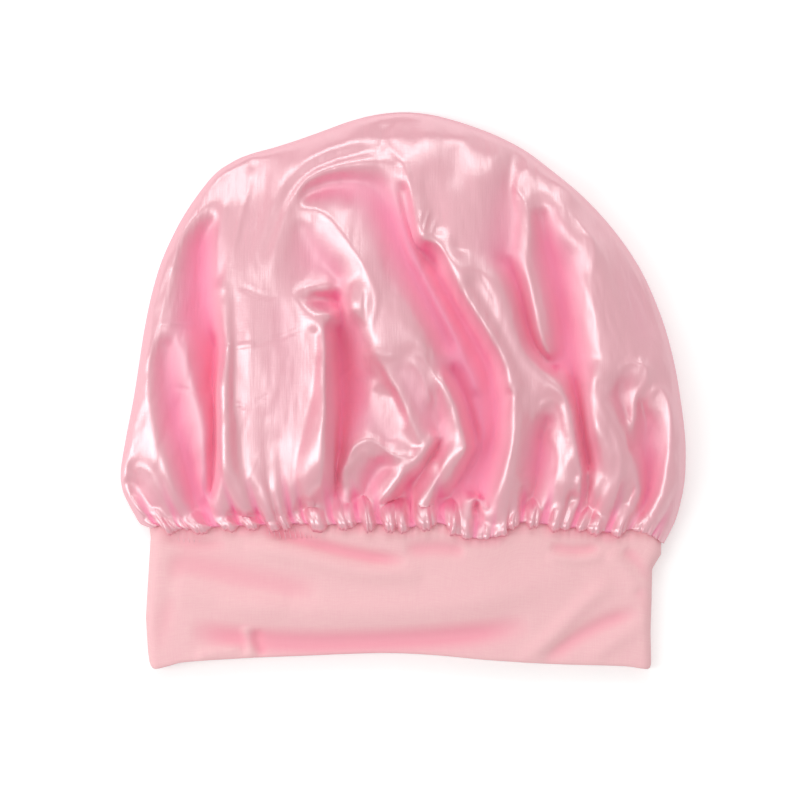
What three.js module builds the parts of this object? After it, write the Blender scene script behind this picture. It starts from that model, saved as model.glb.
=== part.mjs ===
// Sleep bonnet: a satin crown gathered into a wide doubled jersey band, lying flat on its back.
// X runs along the band, +Y points from the band to the top of the crown, +Z points up from the table.
// All lengths are in millimetres.
import * as THREE from 'three';

// Outer sizes of the bonnet as it lies
const bandTopWidth = 267;
const bandHemWidth = 257;
const bandHeight = 73;
const crownOverhang = 13;       // how far the crown swells past the band on each side
const crownHeight = 214;

// How far the layers stand apart where the bonnet lies loose
const hemLoft = 12;
const seamLoft = 20;
const foldTop = 35;              // the highest fold above the table
const edgeLoft = 13;             // how high the crown stands just inside its outline
const hemEndRadius = 5;
const seamEndRadius = 7;

// Cloth and seam
const jerseyPly = 0.6;
const plyGap = 0.2;
const satinWall = 0.6;
const pieceGap = 0.3;
const seamAllowance = 8;
const overlockWidth = 5;
const overlockThickness = 0.4;
const threadWidth = 0.5;
const threadBelowSeam = 1.6;

// Folds and waves
const gatherHeight = 3;
const gatherReach = 36;
const foldRounding = 3;
const seamSag = 6.5;
const hemArch = 7;
const tuckOverBand = 0.8;
const backLiftLength = 12;

// Steps of the mesh
const endSteps = 2;
const frontSteps = 32;
const backSteps = 12;
const crownRows = 13;
const turnSteps = 3;
const threadSides = 6;

// The crown's outline from the left end of the seam to the right one: shares of half the crown's width,
// and of its height above the seam
const outlineShares = [
  [-0.95, 0.027],
  [-0.996, 0.087],
  [-0.998, 0.14],
  [-0.954, 0.303],
  [-0.918, 0.473],
  [-0.847, 0.655],
  [-0.67, 0.85],
  [-0.545, 0.9],
  [-0.19, 0.978],
  [0, 1],
  [0.165, 0.985],
  [0.343, 0.939],
  [0.698, 0.752],
  [0.84, 0.619],
  [0.929, 0.473],
  [0.985, 0.303],
  [1, 0.182],
  [0.993, 0.085],
  [0.964, 0.012],
];
const outlineSideShare = 0.245;

// The seam's wave on the front, left to right: share of the band's width, and share of the sag
const seamWaveShares = [
  [0, 0],
  [0.2, -0.25],
  [0.45, 0.15],
  [0.57, 0.2],
  [0.65, -1],
  [0.74, 0.3],
  [0.88, -0.4],
  [1, -1.3],
];

// Ridges and valleys of the crown's front, left to right. Each place on a line is a share of half the crown's
// width, of its height above the seam, and of the height of the highest fold above the table.
const foldShares = [
  [[-0.66, 0.79, 0.46], [-0.81, 0.62, 0.63], [-0.89, 0.42, 0.63], [-0.87, 0.22, 0.66], [-0.8, 0.02, 0.46]],
  [[-0.84, 0.44, 0.51], [-0.8, 0.23, 0.36], [-0.73, 0.03, 0.29]],
  [[-0.69, 0.75, 0.46], [-0.71, 0.58, 0.22], [-0.65, 0.42, 0.18], [-0.66, 0.25, 0.19], [-0.67, 0.08, 0.27]],
  [[-0.5, 0.87, 0.49], [-0.52, 0.72, 0.72], [-0.58, 0.57, 0.77], [-0.62, 0.3, 0.74], [-0.61, 0.06, 0.6]],
  [[0, 0.87, 0.73], [-0.19, 0.87, 0.72], [-0.36, 0.82, 0.77], [-0.44, 0.7, 0.82], [-0.46, 0.57, 0.81]],
  [[-0.36, 0.79, 0.66], [-0.19, 0.84, 0.46], [-0.05, 0.77, 0.51], [0.01, 0.65, 0.53], [0.16, 0.43, 0.51]],
  [[-0.38, 0.76, 0.77], [-0.24, 0.73, 0.87], [-0.13, 0.62, 1], [-0.1, 0.44, 0.99]],
  [[-0.28, 0.51, 0.89], [-0.26, 0.37, 0.9], [-0.27, 0.2, 0.88], [-0.27, 0.09, 0.76]],
  [[-0.22, 0.48, 0.4], [-0.21, 0.36, 0.22], [-0.21, 0.22, 0.18], [-0.25, 0.08, 0.26]],
  [[-0.21, 0.1, 0.49], [-0.19, 0.18, 0.62], [-0.09, 0.2, 0.73], [0.02, 0.18, 0.76]],
  [
    [0, 0.53, 0.95], [0, 0.41, 0.96], [0.12, 0.35, 0.91],
    [0.18, 0.24, 0.84], [0.13, 0.14, 0.7], [0.05, 0.03, 0.49],
  ],
  [[0.15, 0.37, 0.5], [0.24, 0.27, 0.37], [0.24, 0.16, 0.27], [0.14, 0.06, 0.3]],
  [
    [0, 0.82, 0.69], [0.05, 0.68, 0.48], [0.16, 0.57, 0.41],
    [0.27, 0.45, 0.35], [0.32, 0.32, 0.36], [0.3, 0.1, 0.3],
  ],
  [
    [-0.09, 0.96, 0.49], [0.02, 0.83, 0.81], [0.09, 0.69, 0.98],
    [0.22, 0.57, 0.99], [0.34, 0.44, 0.95], [0.39, 0.3, 0.91],
  ],
  [[0.39, 0.3, 0.91], [0.37, 0.15, 0.83], [0.32, 0, 0.56]],
  [[0.37, 0.91, 0.43], [0.38, 0.78, 0.62], [0.37, 0.65, 0.61], [0.43, 0.51, 0.44], [0.52, 0.39, 0.47]],
  [[0.45, 0.87, 0.49], [0.43, 0.77, 0.75], [0.44, 0.61, 0.78], [0.46, 0.5, 0.73]],
  [[0.41, 0.45, 0.85], [0.5, 0.36, 0.8], [0.6, 0.26, 0.72], [0.62, 0.05, 0.5]],
  [[0.5, 0.26, 0.54], [0.47, 0.16, 0.33], [0.44, 0.05, 0.3]],
  [
    [0.47, 0.76, 0.6], [0.53, 0.62, 0.38], [0.57, 0.47, 0.26],
    [0.61, 0.33, 0.22], [0.65, 0.18, 0.2], [0.65, 0.04, 0.27],
  ],
  [
    [0.5, 0.79, 0.66], [0.66, 0.7, 0.78], [0.65, 0.56, 0.81],
    [0.69, 0.41, 0.81], [0.67, 0.27, 0.78], [0.7, 0.1, 0.6],
  ],
  [
    [0.74, 0.61, 0.69], [0.77, 0.49, 0.75], [0.85, 0.39, 0.74],
    [0.94, 0.25, 0.62], [0.92, 0.14, 0.58], [0.87, 0.01, 0.41],
  ],
  [[0.84, 0.3, 0.51], [0.85, 0.17, 0.32], [0.85, 0.03, 0.3]],
];

// What follows from the sizes. Heights along Y have their zero at the left end of the seam.
const crownWidth = bandTopWidth + 2 * crownOverhang;
const stationCount = 4 * endSteps + frontSteps + backSteps;
const frontLast = 2 * endSteps + frontSteps;
const seamWave = curveThrough(seamWaveShares, 1, seamSag);
const bandStackDepth = 4 * jerseyPly + 3 * plyGap;
const crownMouthDepth = bandStackDepth + pieceGap;
const topLoops = new Map();
const hemLoops = new Map();

// A smooth curve through a table of shares
function curveThrough(shares, xScale, yScale) {
  return new THREE.SplineCurve(shares.map(([x, y]) => new THREE.Vector2(x * xScale, y * yScale)));
}

// The curve's height above a place along X, found by halving, for a curve that runs left to right
function heightAt(curve, x) {
  let low = 0;
  let high = 1;
  for (let step = 0; step < 30; step += 1) {
    const middle = (low + high) / 2;
    if (curve.getPoint(middle).x < x) low = middle;
    else high = middle;
  }
  return curve.getPoint(low).y;
}

// One loop of the flattened ring seen along Y, from its left end over the front to the right end and back
// below
function flatRing(width, loft, endRadius) {
  const straight = width / 2 - endRadius;
  const points = [];
  const addEnd = (centre, from, to) => {
    for (let step = 0; step < endSteps; step += 1) {
      const angle = from + ((to - from) * step) / endSteps;
      points.push(new THREE.Vector2(centre + endRadius * Math.cos(angle), endRadius * (1 + Math.sin(angle))));
    }
  };
  const addRun = (from, to, steps, rise) => {
    for (let step = 0; step < steps; step += 1) {
      const x = from + ((to - from) * step) / steps;
      points.push(new THREE.Vector2(x, rise(x / straight)));
    }
  };
  addEnd(-straight, Math.PI, Math.PI / 2);
  addRun(-straight, straight, frontSteps, (s) => 2 * endRadius + (loft - 2 * endRadius) * (1 - s * s) ** 2);
  addEnd(straight, Math.PI / 2, 0);
  addEnd(straight, 0, -Math.PI / 2);
  addRun(straight, -straight, backSteps, () => 0);
  addEnd(-straight, -Math.PI / 2, -Math.PI);
  return points;
}

// The same loop moved inwards by a depth, every side kept parallel
function insetLoop(points, depth) {
  const count = points.length;
  const normal = (from, to) => {
    const run = new THREE.Vector2().subVectors(to, from).normalize();
    return new THREE.Vector2(-run.y, run.x);
  };
  return points.map((point, index) => {
    const before = normal(points[(index + count - 1) % count], point);
    const after = normal(point, points[(index + 1) % count]);
    const outward = before.clone().add(after).normalize();
    return point.clone().addScaledVector(outward, -depth / outward.dot(after));
  });
}

function ringAtDepth(cache, depth, width, loft, endRadius) {
  if (!cache.has(depth)) cache.set(depth, insetLoop(flatRing(width, loft, endRadius), depth));
  return cache.get(depth);
}

// How far round the ring's width a station lies, from 0 at the left to 1 at the right
function widthShare(station) {
  const x = ringAtDepth(topLoops, 0, bandTopWidth, seamLoft, seamEndRadius)[station].x;
  return THREE.MathUtils.clamp(x / bandTopWidth + 0.5, 0, 1);
}

// The seam's height along Y: it waves on the front and runs straight between its ends on the back
function seamY(station) {
  const share = widthShare(station);
  if (station <= frontLast) return heightAt(seamWave, share);
  return THREE.MathUtils.lerp(seamWave.getPoint(0).y, seamWave.getPoint(1).y, share);
}

function hemY(station) {
  const fromMiddle = 2 * widthShare(station) - 1;
  return hemArch * (1 - fromMiddle * fromMiddle) - bandHeight;
}

// A point in the band's thickness: a station round the ring, a height along Y and a depth from the outer face
function bandPoint(station, y, depth) {
  const top = ringAtDepth(topLoops, depth, bandTopWidth, seamLoft, seamEndRadius)[station];
  const hem = ringAtDepth(hemLoops, depth, bandHemWidth, hemLoft, hemEndRadius)[station];
  const share = (y - hemY(station)) / (seamY(station) - hemY(station));
  const place = hem.clone().lerp(top, share);
  return new THREE.Vector3(place.x, y, place.y);
}

// A mesh from points and the corners of its triangles
function meshOf(name, points, triangles, material) {
  const geometry = new THREE.BufferGeometry();
  geometry.setAttribute('position', new THREE.Float32BufferAttribute(points.flatMap((p) => p.toArray()), 3));
  geometry.setIndex(triangles.flat());
  geometry.computeVertexNormals();
  const mesh = new THREE.Mesh(geometry, material);
  mesh.name = name;
  return mesh;
}

// A closed section carried round every station of the ring. The section turns clockwise seen with depth to
// the right and Y up.
function ringMesh(name, section, material) {
  const points = [];
  const triangles = [];
  const size = section.length;
  for (let station = 0; station < stationCount; station += 1) {
    for (const place of section) {
      const edge = place.fromHem ? hemY(station) : seamY(station);
      points.push(bandPoint(station, edge + place.up, place.depth));
    }
  }
  for (let station = 0; station < stationCount; station += 1) {
    const next = (station + 1) % stationCount;
    for (let corner = 0; corner < size; corner += 1) {
      const follow = (corner + 1) % size;
      const a = station * size + corner;
      const b = next * size + corner;
      const c = next * size + follow;
      const d = station * size + follow;
      triangles.push([a, b, c], [a, c, d]);
    }
  }
  return meshOf(name, points, triangles, material);
}

// The middle line of the band's strip, from the cut edge of the outer ply's allowance over the seam, down the
// outer ply, round the lower fold, up the inner ply and down again beside the first edge
function stripLine() {
  const layerStep = jerseyPly + plyGap;
  const layerDepth = (layer) => jerseyPly / 2 + layer * layerStep;
  const outerTurn = 1.5 * layerStep;
  const smallTurn = layerStep / 2;
  const turnY = -outerTurn - jerseyPly / 2;
  const line = [];
  const addTurn = (centreDepth, up, radius, from, to, steps, fromHem) => {
    for (let step = 0; step <= steps; step += 1) {
      const angle = from + ((to - from) * step) / steps;
      const depth = centreDepth + radius * Math.cos(angle);
      line.push({ depth, up: up + radius * Math.sin(angle), fromHem });
    }
  };
  line.push({ depth: layerDepth(3), up: -seamAllowance, fromHem: false });
  addTurn(layerDepth(1.5), turnY, outerTurn, 0, Math.PI, turnSteps, false);
  addTurn(layerDepth(0.5), smallTurn + jerseyPly / 2, smallTurn, Math.PI, 2 * Math.PI, turnSteps - 1, true);
  addTurn(layerDepth(1.5), turnY, smallTurn, Math.PI, 0, turnSteps - 1, false);
  line.push({ depth: layerDepth(2), up: -seamAllowance, fromHem: false });
  return line;
}

// The strip's section: its middle line with half a ply on each side
function stripSection() {
  const line = stripLine();
  const place = (p) => new THREE.Vector2(p.depth, p.up + (p.fromHem ? -bandHeight : 0));
  const side = (sign) =>
    line.map((p, index) => {
      const here = place(p);
      const before = place(line[Math.max(index - 1, 0)]);
      const after = place(line[Math.min(index + 1, line.length - 1)]);
      const into = here.clone().sub(before).normalize();
      const onward = after.clone().sub(here).normalize();
      const along = into.clone().add(onward).normalize();
      const across = new THREE.Vector2(-along.y, along.x);
      const reach = jerseyPly / 2 / Math.max(along.dot(onward), along.dot(into));
      const depth = p.depth + sign * reach * across.x;
      return { depth, up: p.up + sign * reach * across.y, fromHem: p.fromHem };
    });
  return [...side(1), ...side(-1).reverse()];
}

function bandMesh() {
  const jersey = new THREE.MeshStandardMaterial({ color: 0xf3bbc5, roughness: 0.92, metalness: 0 });
  return ringMesh('band', stripSection(), jersey);
}

// The overlock binds the cut edges: a flat braid of thread on the inner face of the crown's allowance
function overlockMesh() {
  const outerDepth = crownMouthDepth + satinWall + pieceGap;
  const innerDepth = outerDepth + overlockThickness;
  const section = [
    { depth: outerDepth, up: overlockWidth - seamAllowance },
    { depth: innerDepth, up: overlockWidth - seamAllowance },
    { depth: innerDepth, up: -seamAllowance },
    { depth: outerDepth, up: -seamAllowance },
  ];
  const thread = new THREE.MeshStandardMaterial({ color: 0xf5c6cf, roughness: 0.7, metalness: 0 });
  return ringMesh('overlock_thread', section, thread);
}

// The gathering thread runs round the crown's edge between the overlock and the seam
function gatheringThreadMesh() {
  const radius = threadWidth / 2;
  const centreDepth = crownMouthDepth + satinWall + pieceGap + radius;
  const section = [];
  for (let side = 0; side < threadSides; side += 1) {
    const angle = (-2 * Math.PI * side) / threadSides;
    const depth = centreDepth + radius * Math.cos(angle);
    section.push({ depth, up: radius * Math.sin(angle) - threadBelowSeam });
  }
  const thread = new THREE.MeshStandardMaterial({ color: 0xffb3c4, roughness: 0.6, metalness: 0 });
  return ringMesh('gathering_thread', section, thread);
}

// The outline as a curve that starts and ends where the crown leaves the band
function crownOutline() {
  const left = bandPoint(0, seamY(0) + tuckOverBand, crownMouthDepth);
  const right = bandPoint(frontLast, seamY(frontLast) + tuckOverBand, crownMouthDepth);
  const between = outlineShares.map(([x, y]) => new THREE.Vector3((x * crownWidth) / 2, y * crownHeight, 0));
  const start = new THREE.Vector3(left.x, left.y, 0);
  const end = new THREE.Vector3(right.x, right.y, 0);
  return new THREE.CatmullRomCurve3([start, ...between, end], false, 'centripetal');
}

// A ridge or valley: its places seen from above, each with its height above the table
function foldLine(shares) {
  return shares.map(([x, y, height]) => ({
    at: new THREE.Vector3((x * crownWidth) / 2, y * crownHeight, 0),
    height: height * foldTop,
  }));
}

// How near a line comes to a place, seen from above, and how high the line is there
function nearestOnLine(place, line) {
  const nearest = { away: Infinity, height: 0 };
  const spot = new THREE.Vector3();
  for (let index = 1; index < line.length; index += 1) {
    const from = line[index - 1];
    const to = line[index];
    const stretch = new THREE.Line3(from.at, to.at);
    const share = stretch.closestPointToPointParameter(place, true);
    const away = stretch.at(share, spot).distanceTo(place);
    if (away < nearest.away) {
      nearest.away = away;
      nearest.height = THREE.MathUtils.lerp(from.height, to.height, share);
    }
  }
  return nearest;
}

// The cloth hangs between the lines: the height at a place is the mean of the lines' heights, and near lines
// count far more than distant ones
function drapedHeight(place, lines) {
  let sum = 0;
  let weights = 0;
  for (const line of lines) {
    const { away, height } = nearestOnLine(place, line);
    const weight = 1 / (away * away + foldRounding * foldRounding) ** 2;
    sum += weight * height;
    weights += weight;
  }
  return sum / weights;
}

// The gathers: every second column stands up, unevenly, and they die away from the seam
function gatherRise(column, fromSeam) {
  const fade = Math.max(1 - fromSeam / gatherReach, 0) ** 2;
  const unevenShare = 0.75 + 0.25 * Math.sin(2.4 * column);
  return gatherHeight * unevenShare * fade * (column % 2 === 0 ? 1 : -1);
}

// One skin of the crown, outer or inner. Both have the same points in the same order: the allowance's edge,
// the place where the crown leaves the band, the rows of the front and the row where the back meets the
// table.
function crownSkin(inner) {
  const depth = crownMouthDepth + (inner ? satinWall : 0);
  const edgeInset = inner ? 2 * satinWall : 0;
  const tableZ = inner ? satinWall : 0;
  const outline = crownOutline();
  const edge = outline.getSpacedPoints(outlineShares.length).map((at) => ({ at, height: edgeLoft }));
  const lines = [...foldShares.map(foldLine), edge];
  const centre = new THREE.Vector3(0, crownHeight / 2, 0);
  const points = [];
  for (let station = 0; station < stationCount; station += 1) {
    points.push(bandPoint(station, seamY(station) - seamAllowance, depth));
  }
  for (let station = 0; station < stationCount; station += 1) {
    points.push(bandPoint(station, seamY(station) + tuckOverBand, depth));
  }
  const foot = (column) => bandPoint(column, seamY(column) + tuckOverBand, depth);
  const flat = (point) => new THREE.Vector3(point.x, point.y, 0);
  const cornerLeft = outline.getPointAt(outlineSideShare);
  const cornerRight = outline.getPointAt(1 - outlineSideShare);
  for (let row = 1; row <= crownRows; row += 1) {
    const v = (row / crownRows) ** 1.2;
    const left = outline.getPointAt(v * outlineSideShare);
    const right = outline.getPointAt(1 - v * outlineSideShare);
    for (let column = 0; column <= frontLast; column += 1) {
      const u = column / frontLast;
      const top = outline.getPointAt(outlineSideShare + u * (1 - 2 * outlineSideShare));
      const upDown = flat(foot(column)).lerp(top, v);
      const sides = left.clone().lerp(right, u);
      const cornersLow = flat(foot(0)).lerp(flat(foot(frontLast)), u);
      const cornersHigh = cornerLeft.clone().lerp(cornerRight, u);
      const place = upDown.add(sides).sub(cornersLow.lerp(cornersHigh, v));
      const onEdge = column === 0 || column === frontLast || row === crownRows;
      if (onEdge) {
        const inward = centre.clone().sub(place).normalize();
        points.push(place.addScaledVector(inward, edgeInset).setZ(tableZ));
        continue;
      }
      const fromSeam = place.y - foot(column).y;
      const leaving = THREE.MathUtils.smoothstep(fromSeam, -gatherHeight, gatherReach);
      const atSeam = foot(column).z + bandStackDepth;
      const draped = THREE.MathUtils.lerp(atSeam, drapedHeight(place, lines), leaving);
      const loft = draped + gatherRise(column, fromSeam);
      points.push(place.setZ(loft - (inner ? satinWall : 0)));
    }
  }
  for (let station = frontLast + 1; station < stationCount; station += 1) {
    const start = foot(station);
    points.push(new THREE.Vector3(start.x, start.y + backLiftLength, tableZ));
  }
  return points;
}

// The corners of the triangles of one skin, seen from outside. On the front each four-sided patch is split
// along the diagonal that climbs least, so that slanting folds stay whole.
function crownSkinTriangles(points) {
  const loopPoint = (loop, station) => loop * stationCount + (station % stationCount);
  const columns = frontLast + 1;
  const front = (column, row) => {
    if (row === 0) return loopPoint(1, column);
    return 2 * stationCount + (row - 1) * columns + column;
  };
  const backStart = 2 * stationCount + crownRows * columns;
  const back = (station) => {
    if (station === frontLast) return front(frontLast, 1);
    return station === stationCount ? front(0, 1) : backStart + station - frontLast - 1;
  };
  const triangles = [];
  const addQuad = (a, b, c, d) => triangles.push([a, b, c], [a, c, d]);
  const climb = (a, b) => Math.abs(points[a].z - points[b].z);
  const addFoldedQuad = (a, b, c, d) => {
    if (climb(a, c) < climb(b, d)) addQuad(a, b, c, d);
    else addQuad(b, c, d, a);
  };
  for (let station = 0; station < stationCount; station += 1) {
    addQuad(
      loopPoint(0, station),
      loopPoint(0, station + 1),
      loopPoint(1, station + 1),
      loopPoint(1, station),
    );
  }
  for (let row = 0; row < crownRows; row += 1) {
    for (let column = 0; column < frontLast; column += 1) {
      addFoldedQuad(
        front(column, row),
        front(column + 1, row),
        front(column + 1, row + 1),
        front(column, row + 1),
      );
    }
  }
  for (let station = frontLast; station < stationCount; station += 1) {
    addQuad(loopPoint(1, station), loopPoint(1, station + 1), back(station + 1), back(station));
  }
  const rim = [];
  for (let station = frontLast; station <= stationCount; station += 1) rim.push(back(station));
  for (let row = 2; row <= crownRows; row += 1) rim.push(front(0, row));
  for (let column = 1; column <= frontLast; column += 1) rim.push(front(column, crownRows));
  for (let row = crownRows - 1; row > 1; row -= 1) rim.push(front(frontLast, row));
  const seenFromAbove = rim.map((index) => new THREE.Vector2(points[index].x, points[index].y));
  for (const corners of THREE.ShapeUtils.triangulateShape(seenFromAbove, [])) {
    const facesUp = THREE.ShapeUtils.area(corners.map((index) => seenFromAbove[index])) > 0;
    const [a, b, c] = corners.map((index) => rim[index]);
    triangles.push(facesUp ? [a, c, b] : [a, b, c]);
  }
  return triangles;
}

// The crown: the outer skin, the inner skin turned over and the cut edge of the allowance between them
function crownMesh() {
  const outer = crownSkin(false);
  const inner = crownSkin(true);
  const skin = crownSkinTriangles(outer);
  const offset = outer.length;
  const triangles = [...skin];
  for (const [a, b, c] of skin) triangles.push([a + offset, c + offset, b + offset]);
  for (let station = 0; station < stationCount; station += 1) {
    const next = (station + 1) % stationCount;
    triangles.push([station + offset, next + offset, next], [station + offset, next, station]);
  }
  const satin = new THREE.MeshStandardMaterial({ color: 0xffb4c6, roughness: 0.3, metalness: 0 });
  return meshOf('crown', [...outer, ...inner], triangles, satin);
}

// The whole bonnet, with its origin on the table under the middle of its outline
function bonnet() {
  const pieces = new THREE.Group();
  pieces.add(crownMesh(), bandMesh(), gatheringThreadMesh(), overlockMesh());
  const bounds = new THREE.Box3().setFromObject(pieces);
  const middle = bounds.getCenter(new THREE.Vector3());
  pieces.position.set(-middle.x, -middle.y, -bounds.min.z);
  const whole = new THREE.Group();
  whole.add(pieces);
  return whole;
}

export default bonnet();
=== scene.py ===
# %% [markdown]
# A satin sleep bonnet, lying flat on its back. The real one is two pieces of cloth: a round panel of satin that is
# gathered along its whole edge, and a wide strip of jersey, folded double, that holds the head. This lesson dresses
# the plain solids of the frame with cloth: first the shapes, then the finishes, then the light. The frame's solids
# come first.

# %% Load the frame
import math

import bmesh
import bpy
import numpy as np
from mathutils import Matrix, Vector


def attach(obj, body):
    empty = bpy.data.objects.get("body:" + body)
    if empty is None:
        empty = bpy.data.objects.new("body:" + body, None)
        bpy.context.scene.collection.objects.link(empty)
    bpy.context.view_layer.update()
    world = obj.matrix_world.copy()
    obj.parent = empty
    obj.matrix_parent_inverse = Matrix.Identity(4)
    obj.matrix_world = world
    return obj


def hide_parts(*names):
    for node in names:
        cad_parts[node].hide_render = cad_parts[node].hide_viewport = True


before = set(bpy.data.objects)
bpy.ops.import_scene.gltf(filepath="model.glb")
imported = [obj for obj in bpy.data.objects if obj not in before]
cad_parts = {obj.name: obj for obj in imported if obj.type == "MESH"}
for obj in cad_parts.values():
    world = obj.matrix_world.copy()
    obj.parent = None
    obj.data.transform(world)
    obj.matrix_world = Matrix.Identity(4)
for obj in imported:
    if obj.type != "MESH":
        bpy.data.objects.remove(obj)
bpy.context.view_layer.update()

# %% [markdown]
# The folds of cloth are a matter of chance, so they are drawn on the photograph. Its picture is 800 pixels
# wide, seen from straight above, and one pixel is 0.52 mm on the table. Lines are lists of picture places, and one
# function turns a picture place into metres in the frame.

# %% From picture places to metres
MM = 0.001
PIXEL = 0.52 * MM
PICTURE_MIDDLE = np.array([403.5, 390.5])


def to_metres(places):
    """Picture places as x and y in metres. The picture's y runs down and the frame's runs up."""
    places = np.asarray(places, dtype=float)
    flat = (places[..., :2] - PICTURE_MIDDLE) * PIXEL
    flat[..., 1] *= -1
    return flat


def to_picture(flat):
    """The way back, from x and y in metres to picture places."""
    return np.asarray(flat) * [1, -1] / PIXEL + PICTURE_MIDDLE


def smooth_line(points, steps=12):
    """A Catmull-Rom curve through all the points, with as many columns as they have."""
    points = np.asarray(points, dtype=float)
    padded = np.vstack([2 * points[0] - points[1], points, 2 * points[-1] - points[-2]])
    pieces = []
    t = np.linspace(0, 1, steps, endpoint=False)[:, None]
    for i in range(len(points) - 1):
        a, b, c, d = padded[i : i + 4]
        pieces.append(b + 0.5 * t * (c - a + t * (2 * a - 5 * b + 4 * c - d + t * (3 * (b - c) + d - a))))
    return np.vstack([*pieces, points[-1:]])


def along(line, shares):
    """Places on a line at shares of its length."""
    length = np.concatenate([[0], np.cumsum(np.linalg.norm(np.diff(line[:, :2], axis=0), axis=1))])
    return np.stack([np.interp(shares * length[-1], length, line[:, k]) for k in range(line.shape[1])], axis=-1)


print("one pixel is", PIXEL / MM, "mm")

# %% [markdown]
# Two lines bound the crown as the photograph shows it: the outline from one end of the seam over the top to the
# other end, and the hem, where the gathers meet the band. The hem waves, because the fuller folds hang over the band.
# Both could be traced with a curve object, but a list of places stays easy to correct.

# %% Outline and hem of the crown
OUTLINE = [
    (147, 526), (141, 523), (135, 514), (129, 503), (123, 489), (121.5, 470), (127, 436), (134, 400), (140, 362),
    (145, 330), (153, 292), (165, 255), (185, 215), (212, 178), (232, 163), (250, 155), (275, 148), (300, 140),
    (325, 131), (350, 122), (376, 115.5), (403, 113), (428, 115), (450, 120), (475, 128), (500, 138), (526, 152),
    (550, 170), (577, 192), (600, 215), (622, 242), (640, 270), (654, 300), (665, 330), (674, 365), (680, 400),
    (684, 432), (685, 455), (684, 480), (680, 502), (674, 522), (663, 543),
]
HEM = [
    (147, 526), (161, 525), (171, 527), (189, 528), (207, 527), (225, 526), (249, 525), (266, 524), (281, 525),
    (296, 523), (318, 523.5), (340, 523.5), (360, 522), (391, 524.5), (411, 526.5), (421, 523), (437, 522),
    (450, 526), (462, 533), (473, 537), (481, 538), (488, 537), (496, 535), (505, 529), (514, 523), (527, 521.5),
    (547, 524), (562, 527), (582, 527), (600, 530), (606, 532), (621, 530), (640, 528), (650, 535), (663, 543),
]
outline = smooth_line(OUTLINE)
hem = smooth_line(HEM)
print("outline", len(outline), "points, hem", len(hem), "points")

# %% [markdown]
# The folds themselves are ridges and valleys. Each is a line of picture places with a height above the table in
# millimetres. They are read off the photograph: a thin bright line is a crest, and a deep, saturated pink is a
# valley, where the satin lights itself. A cloth simulation could crumple a crown too, but it would find folds of its
# own, so these are drawn one by one. The left side comes first.

# %% Folds of the left side
FOLDS = {
    # the left side: a crest, two hollows with round upper ends, and the small puffs at its foot
    "left_crest": [
        (224, 198, 20.5), (209, 207, 20), (196, 220, 20.5), (183, 241, 21.5), (177, 262, 22), (171, 290, 22),
        (162, 318, 22), (155, 338, 22), (151, 358, 22), (150, 380, 22), (153, 408, 22.5), (159, 434, 23),
        (167, 462, 23.5), (173, 487, 22), (177, 506, 18.5), (178, 518, 16),
    ],
    "left_hollow": [
        (212, 224, 17.5), (205, 236, 14), (201, 248, 11.5), (201, 266, 10.5), (203, 286, 10), (208, 308, 9.5),
        (215, 328, 9), (221, 346, 9), (219.5, 376, 9), (218, 406, 9), (217, 436, 9.5), (216, 466, 10), (214, 492, 11),
    ],
    "left_flank": [(228, 203, 22), (226, 216, 22.5), (222, 236, 22), (219, 256, 21), (220, 280, 20.5)],
    "left_slot": [
        (168, 343, 18), (167, 366, 16), (169, 389, 15), (173, 412, 13.5), (181, 442, 12), (189, 470, 11.5),
        (196, 496, 11), (199, 515, 11),
    ],
    "left_patch": [
        (183, 333, 18.5), (188, 349, 20.5), (193, 372, 20.5), (199, 392, 20), (206, 415, 19), (209, 440, 18.5),
        (208, 470, 17), (204, 498, 14.5),
    ],
    "left_puff": [(134, 470, 13), (144, 467, 17), (154, 474, 19), (161, 490, 19), (169, 505, 17), (171, 516, 15)],
    "left_puff_rim": [(130, 482, 11.5), (132, 497, 13), (142, 510, 14.5), (157, 518, 14)],
    "left_puff_hollow": [(141, 484, 12.5), (147, 497, 13), (157, 508, 13)],
    "upper_left_ridge": [
        (251, 162, 14), (251.5, 176, 18), (250, 192, 21), (245, 210, 23.5), (239, 235, 25), (234, 256, 25.5),
        (229, 281, 25.5), (226, 300, 25.5),
    ],
    "upper_left_plane": [
        (263, 166, 17), (267, 183, 20.5), (263, 206, 23.5), (255, 236, 26), (247, 266, 27), (241, 290, 27),
    ],
}
print(len(FOLDS), "fold lines on the left side")

# %% [markdown]
# Over the top left two arches sweep round, where the cloth is drawn towards the middle. Under them a long ridge
# curves down, with a plane of cloth behind it and a small pocket beside it.

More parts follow.
